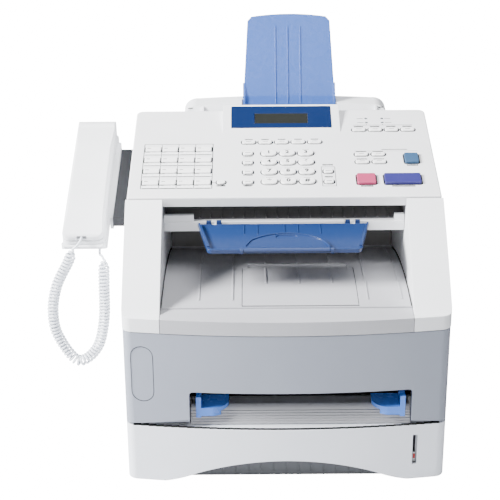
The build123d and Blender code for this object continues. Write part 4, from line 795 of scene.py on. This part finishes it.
def cavity_back_shade():
    """A dark ribbed sheet at the back of the output tray's cavity: painted shade deep in the cavity."""
    half, front = 134.6, 74.4
    shape = bmesh.new()
    add_box(shape, -half, half, front, front + 1.5, 166, 268)
    for x in (-90, -45, 0, 45, 90):
        add_box(shape, x - 1, x + 1, front - 1.9, front + 0.2, 168, 264)
    finish_shape("cavity_back_shade", shape, "machine", "recess_shade_grey", body_frame)


FLOOR_ARC = ((-186.0, 203.0), (-60.0, 199.5), (78.0, 162.0))
STRIP_DEPTH = 1.2


def floor_height(y):
    """The height of the output tray's curved floor, in millimetres, from its three-point arc."""
    (ya, za), (yb, zb), (yc, zc) = FLOOR_ARC
    d = 2 * (ya * (zb - zc) + yb * (zc - za) + yc * (za - zb))
    sa, sb, sc = ya**2 + za**2, yb**2 + zb**2, yc**2 + zc**2
    yo = (sa * (zb - zc) + sb * (zc - za) + sc * (za - zb)) / d
    zo = (sa * (yc - yb) + sb * (ya - yc) + sc * (yb - ya)) / d
    return zo + math.sqrt((ya - yo) ** 2 + (za - zo) ** 2 - (y - yo) ** 2)


def floor_strips(shape, sides, front, back, steps, rise):
    """Thin strips from front to back that follow the curved floor, their tops at rise above it."""
    for step in range(steps):
        y0 = front + (back - front) * step / steps
        y1 = front + (back - front) * (step + 1) / steps
        top = floor_height((y0 + y1) / 2) + rise
        for x0, x1 in sides:
            add_box(shape, x0, x1, y0, y1, top - STRIP_DEPTH, top)


def flap_shadow_line():
    """A dark strip in the narrow gap round the output flap's front and sides: painted shade in the gap.
    """
    middle, half, front, back = 15.4, 62.5, -163.9, -58.0
    left, right = middle - half, middle + half
    shape = bmesh.new()
    add_box(shape, left - 0.7, right + 0.7, front, front + 1.6, 203.2, floor_height(front) - 0.35)
    sides = ((left - 0.68, left - 0.04), (right + 0.04, right + 0.68))
    floor_strips(shape, sides, front, back, steps=20, rise=-0.45)
    finish_shape("flap_shadow_line", shape, "machine", "gap_shade_black", body_frame)


def side_seams():
    """A dark strip along each side of the output tray's curved floor: painted shade in the crease where
    floor and wall meet.
    """
    inner, outer = 133.9, 134.9
    shape = bmesh.new()
    floor_strips(shape, ((-outer, -inner), (inner, outer)), -165.5, 59.5, steps=24, rise=0.25)
    finish_shape("side_seams", shape, "machine", "gap_shade_line", body_frame)


def front_bow(x):
    """How far forward the bowed front of the body stands at x, in millimetres."""
    half, bow, front = 176.5, 14.0, -185.0
    radius = (half**2 + bow**2) / (2 * bow)
    return front - bow + radius - math.sqrt(radius**2 - x**2)


def cover_seams():
    """Dark strips in the gaps above and below the front cover, behind its bowed front edge: painted
    shade in the gaps.
    """
    half, steps = 168, 40
    places = [half * (2 * step / steps - 1) for step in range(steps + 1)]
    seams = (("upper_seam", "machine", 185.9, 186.4), ("lower_seam", "cover", 70.2, 71.1))
    for name, body, z0, z1 in seams:
        shape = bmesh.new()
        for x0, x1 in zip(places, places[1:]):
            y = front_bow((x0 + x1) / 2)
            add_box(shape, x0, x1, y + 1.3, y + 4.0, z0, z1)
        finish_shape(name, shape, body, "gap_shade_black", body_frame)


def blank_rim():
    """The dark line round the blanking plate, drawn on the bowed cover: painted shade in the gap round
    the plate.
    """
    middle_x, middle_z, width, height = -155.8, 135.7, 23.6, 66.7
    sunk = 0.36
    shape = bmesh.new()
    loops = []
    for grow in (0.0, 1.1):
        loop = rounded_loop(middle_x, middle_z, width + grow, height + grow, (width - 0.2 + grow) / 2)
        loops.append([(x, front_bow(x) + sunk, z) for x, z in loop])
    add_band(shape, *loops)
    finish_shape("blank_rim", shape, "cover", "gap_shade_line", body_frame)


def handle_shade():
    """A grey ribbed plate behind the cassette's handle arch: painted shade in the recess under the
    arch.
    """
    left, right, front, low, high = -146, 133, -181.5, 1.8, 34
    shape = bmesh.new()
    add_box(shape, left, right, front, front + 0.4, low, high)
    for x in range(left + 6, right, 14):
        add_box(shape, x - 0.5, x + 0.5, front - 0.8, front + 0.1, low + 0.4, high - 0.4)
    finish_shape("handle_shade", shape, "cassette", "inside_grey", body_frame)


def handset_seam():
    """A dark band in the gap between the handset's halves: painted shade in the gap."""
    middle, width, length, corner = 118.7, 45.2, 235.4, 14.0
    shape = bmesh.new()
    plan = rounded_loop(0.0, middle, width, length, corner)
    lower, upper = ([(x, s, z) for x, s in plan] for z in (-10.6, -9.55))
    add_band(shape, lower, upper)
    finish_shape("handset_seam", shape, "handset", "gap_shade_black", handset_frame)


def catch_tray_lines():
    """Painted shade: dark blue lines inside the rims of the blue catch tray."""
    front, back = -59.4, -6.0
    left, right, flare = -81.6, 79.6, 10.8
    flap_left, flap_right = -46.4, 50.0
    width, height = 0.9, 2.9
    shape = bmesh.new()
    add_ribbon(shape, [(left - flare, back), (left, front), (flap_left, front)], width, height)
    add_ribbon(shape, [(flap_right, front), (right, front), (right + flare, back)], width, height)
    finish_shape("catch_tray_lines", shape, "catch_tray", "catch_tray_shade_blue", tray_frame)


def paper_mark():
    """A small printed outline of a sheet with two lines on it, right of the sill's middle."""
    line = 0.5
    shape = bmesh.new()
    outline(shape, 8.0, 14.0, -43.5, -37.0, line)
    for v in (-39.4, -41.2):
        stroke(shape, 9.6, v, 12.4, v, line)
    place = panel_frame @ leaning((0, 1.98 * MM, 0), math.radians(90))
    finish_shape("paper_mark", shape, "machine", "pale_ink", place)


def tray_size_marks():
    """Small dashes on the rear tray's shoulders that show the sheet sizes."""
    shape = bmesh.new()
    for side in (-1, 1):
        word(shape, 6.4 + side * 117.0, 0.0, 6.0, 1.6)
    place = body_frame @ leaning(Vector((0, 149.1, 318.3)) * MM, math.radians(67.7))
    finish_shape("tray_size_marks", shape, "machine", "pale_ink", place)


# ---------------------------------------------------------------- stage
PAPER_GLOW = 16.0


def floor_material():
    """Grey paper that glows white to the camera alone: the glow lights nothing and hides the shadow."""
    material, shader, nodes, links = new_material("studio_paper")
    vary_colour(nodes, links, shader, (0.42, 0.43, 0.45), 0.01, 2.0)
    vary_roughness(nodes, links, shader, 0.7, 0.8, 5.0)
    rays = nodes.new("ShaderNodeLightPath")
    bright = add(nodes, "ShaderNodeEmission", Color=[1.0, 1.0, 1.0, 1])
    lift = add(nodes, "ShaderNodeMath", operation="MULTIPLY")
    lift.inputs[1].default_value = PAPER_GLOW
    joined = nodes.new("ShaderNodeAddShader")
    links.new(rays.outputs["Is Camera Ray"], lift.inputs[0])
    links.new(lift.outputs["Value"], bright.inputs["Strength"])
    links.new(shader.outputs["BSDF"], joined.inputs[0])
    links.new(bright.outputs["Emission"], joined.inputs[1])
    links.new(joined.outputs["Shader"], nodes["Material Output"].inputs["Surface"])
    return material


def studio_floor():
    """A pale floor that curves up far behind the object."""
    shape = bmesh.new()
    flat_end, bend = 2.2, 1.2
    turns = [math.pi / 24 * step for step in range(1, 13)]
    profile = [(-3.0, 0.0), (flat_end, 0.0)]
    profile += [(flat_end + bend * math.sin(a), bend * (1 - math.cos(a))) for a in turns]
    profile += [(flat_end + bend, 5.0)]
    rows = [[shape.verts.new((x, y, z)) for x in (-5.0, 5.0)] for y, z in profile]
    for lower, upper in zip(rows, rows[1:]):
        shape.faces.new((lower[0], lower[1], upper[1], upper[0]))
    mesh = mesh_from(shape, "studio_floor")
    mesh.materials.append(floor_material())
    shade_smooth(mesh)
    floor = bpy.data.objects.new("studio_floor", mesh)
    bpy.context.scene.collection.objects.link(floor)


def soft_light(name, place, target, size, power):
    """A square soft box aimed at a point, both given from the middle of the body."""
    lamp = bpy.data.lights.new(name, "AREA")
    lamp.shape = "SQUARE"
    lamp.size = size
    lamp.energy = power
    holder = bpy.data.objects.new(name, lamp)
    holder.location = Vector(place) + BODY_MIDDLE
    holder.rotation_euler = (Vector(target) - Vector(place)).to_track_quat("-Z", "Y").to_euler()
    bpy.context.scene.collection.objects.link(holder)


def studio_lights():
    """A soft key box high on the left, a wide weak one overhead, a low one in front."""
    world = bpy.data.worlds.new("surround")
    world.use_nodes = True
    surround = world.node_tree.nodes["Background"]
    surround.inputs["Color"].default_value = (0.80, 0.88, 1.0, 1)
    surround.inputs["Strength"].default_value = 0.16
    bpy.context.scene.world = world
    soft_light("key_box", (-1.85, -0.5, 1.5), (0, 0, 0.15), 0.7, 300)
    soft_light("overhead_box", (0.3, -0.3, 2.3), (0, 0, 0.1), 1.6, 55)
    soft_light("front_box", (-0.2, -2.2, 0.75), (0, 0, 0.15), 1.2, 26)


def camera():
    """The picture's camera: in front, a little to the left, looking down 25 degrees."""
    data = bpy.data.cameras.new("picture_camera")
    data.sensor_width = 36.0
    data.lens = 107.6
    holder = bpy.data.objects.new("picture_camera", data)
    holder.location = Vector((-0.0386, -1.5922, 0.9374)) + BODY_MIDDLE
    holder.rotation_mode = "ZYX"
    holder.rotation_euler = (math.radians(90 - 25), 0.0, math.radians(-0.4))
    bpy.context.scene.collection.objects.link(holder)
    bpy.context.scene.camera = holder


dress_cad_nodes()
key_legends()
key_rims()
panel_print()
name_strips()
key_strip_marks()
status_lenses()
coiled_cord()
level_pointer()
exit_chute()
cavity_back_shade()
flap_shadow_line()
side_seams()
cover_seams()
blank_rim()
handle_shade()
handset_seam()
catch_tray_lines()
paper_mark()
tray_size_marks()
studio_floor()
studio_lights()
camera()
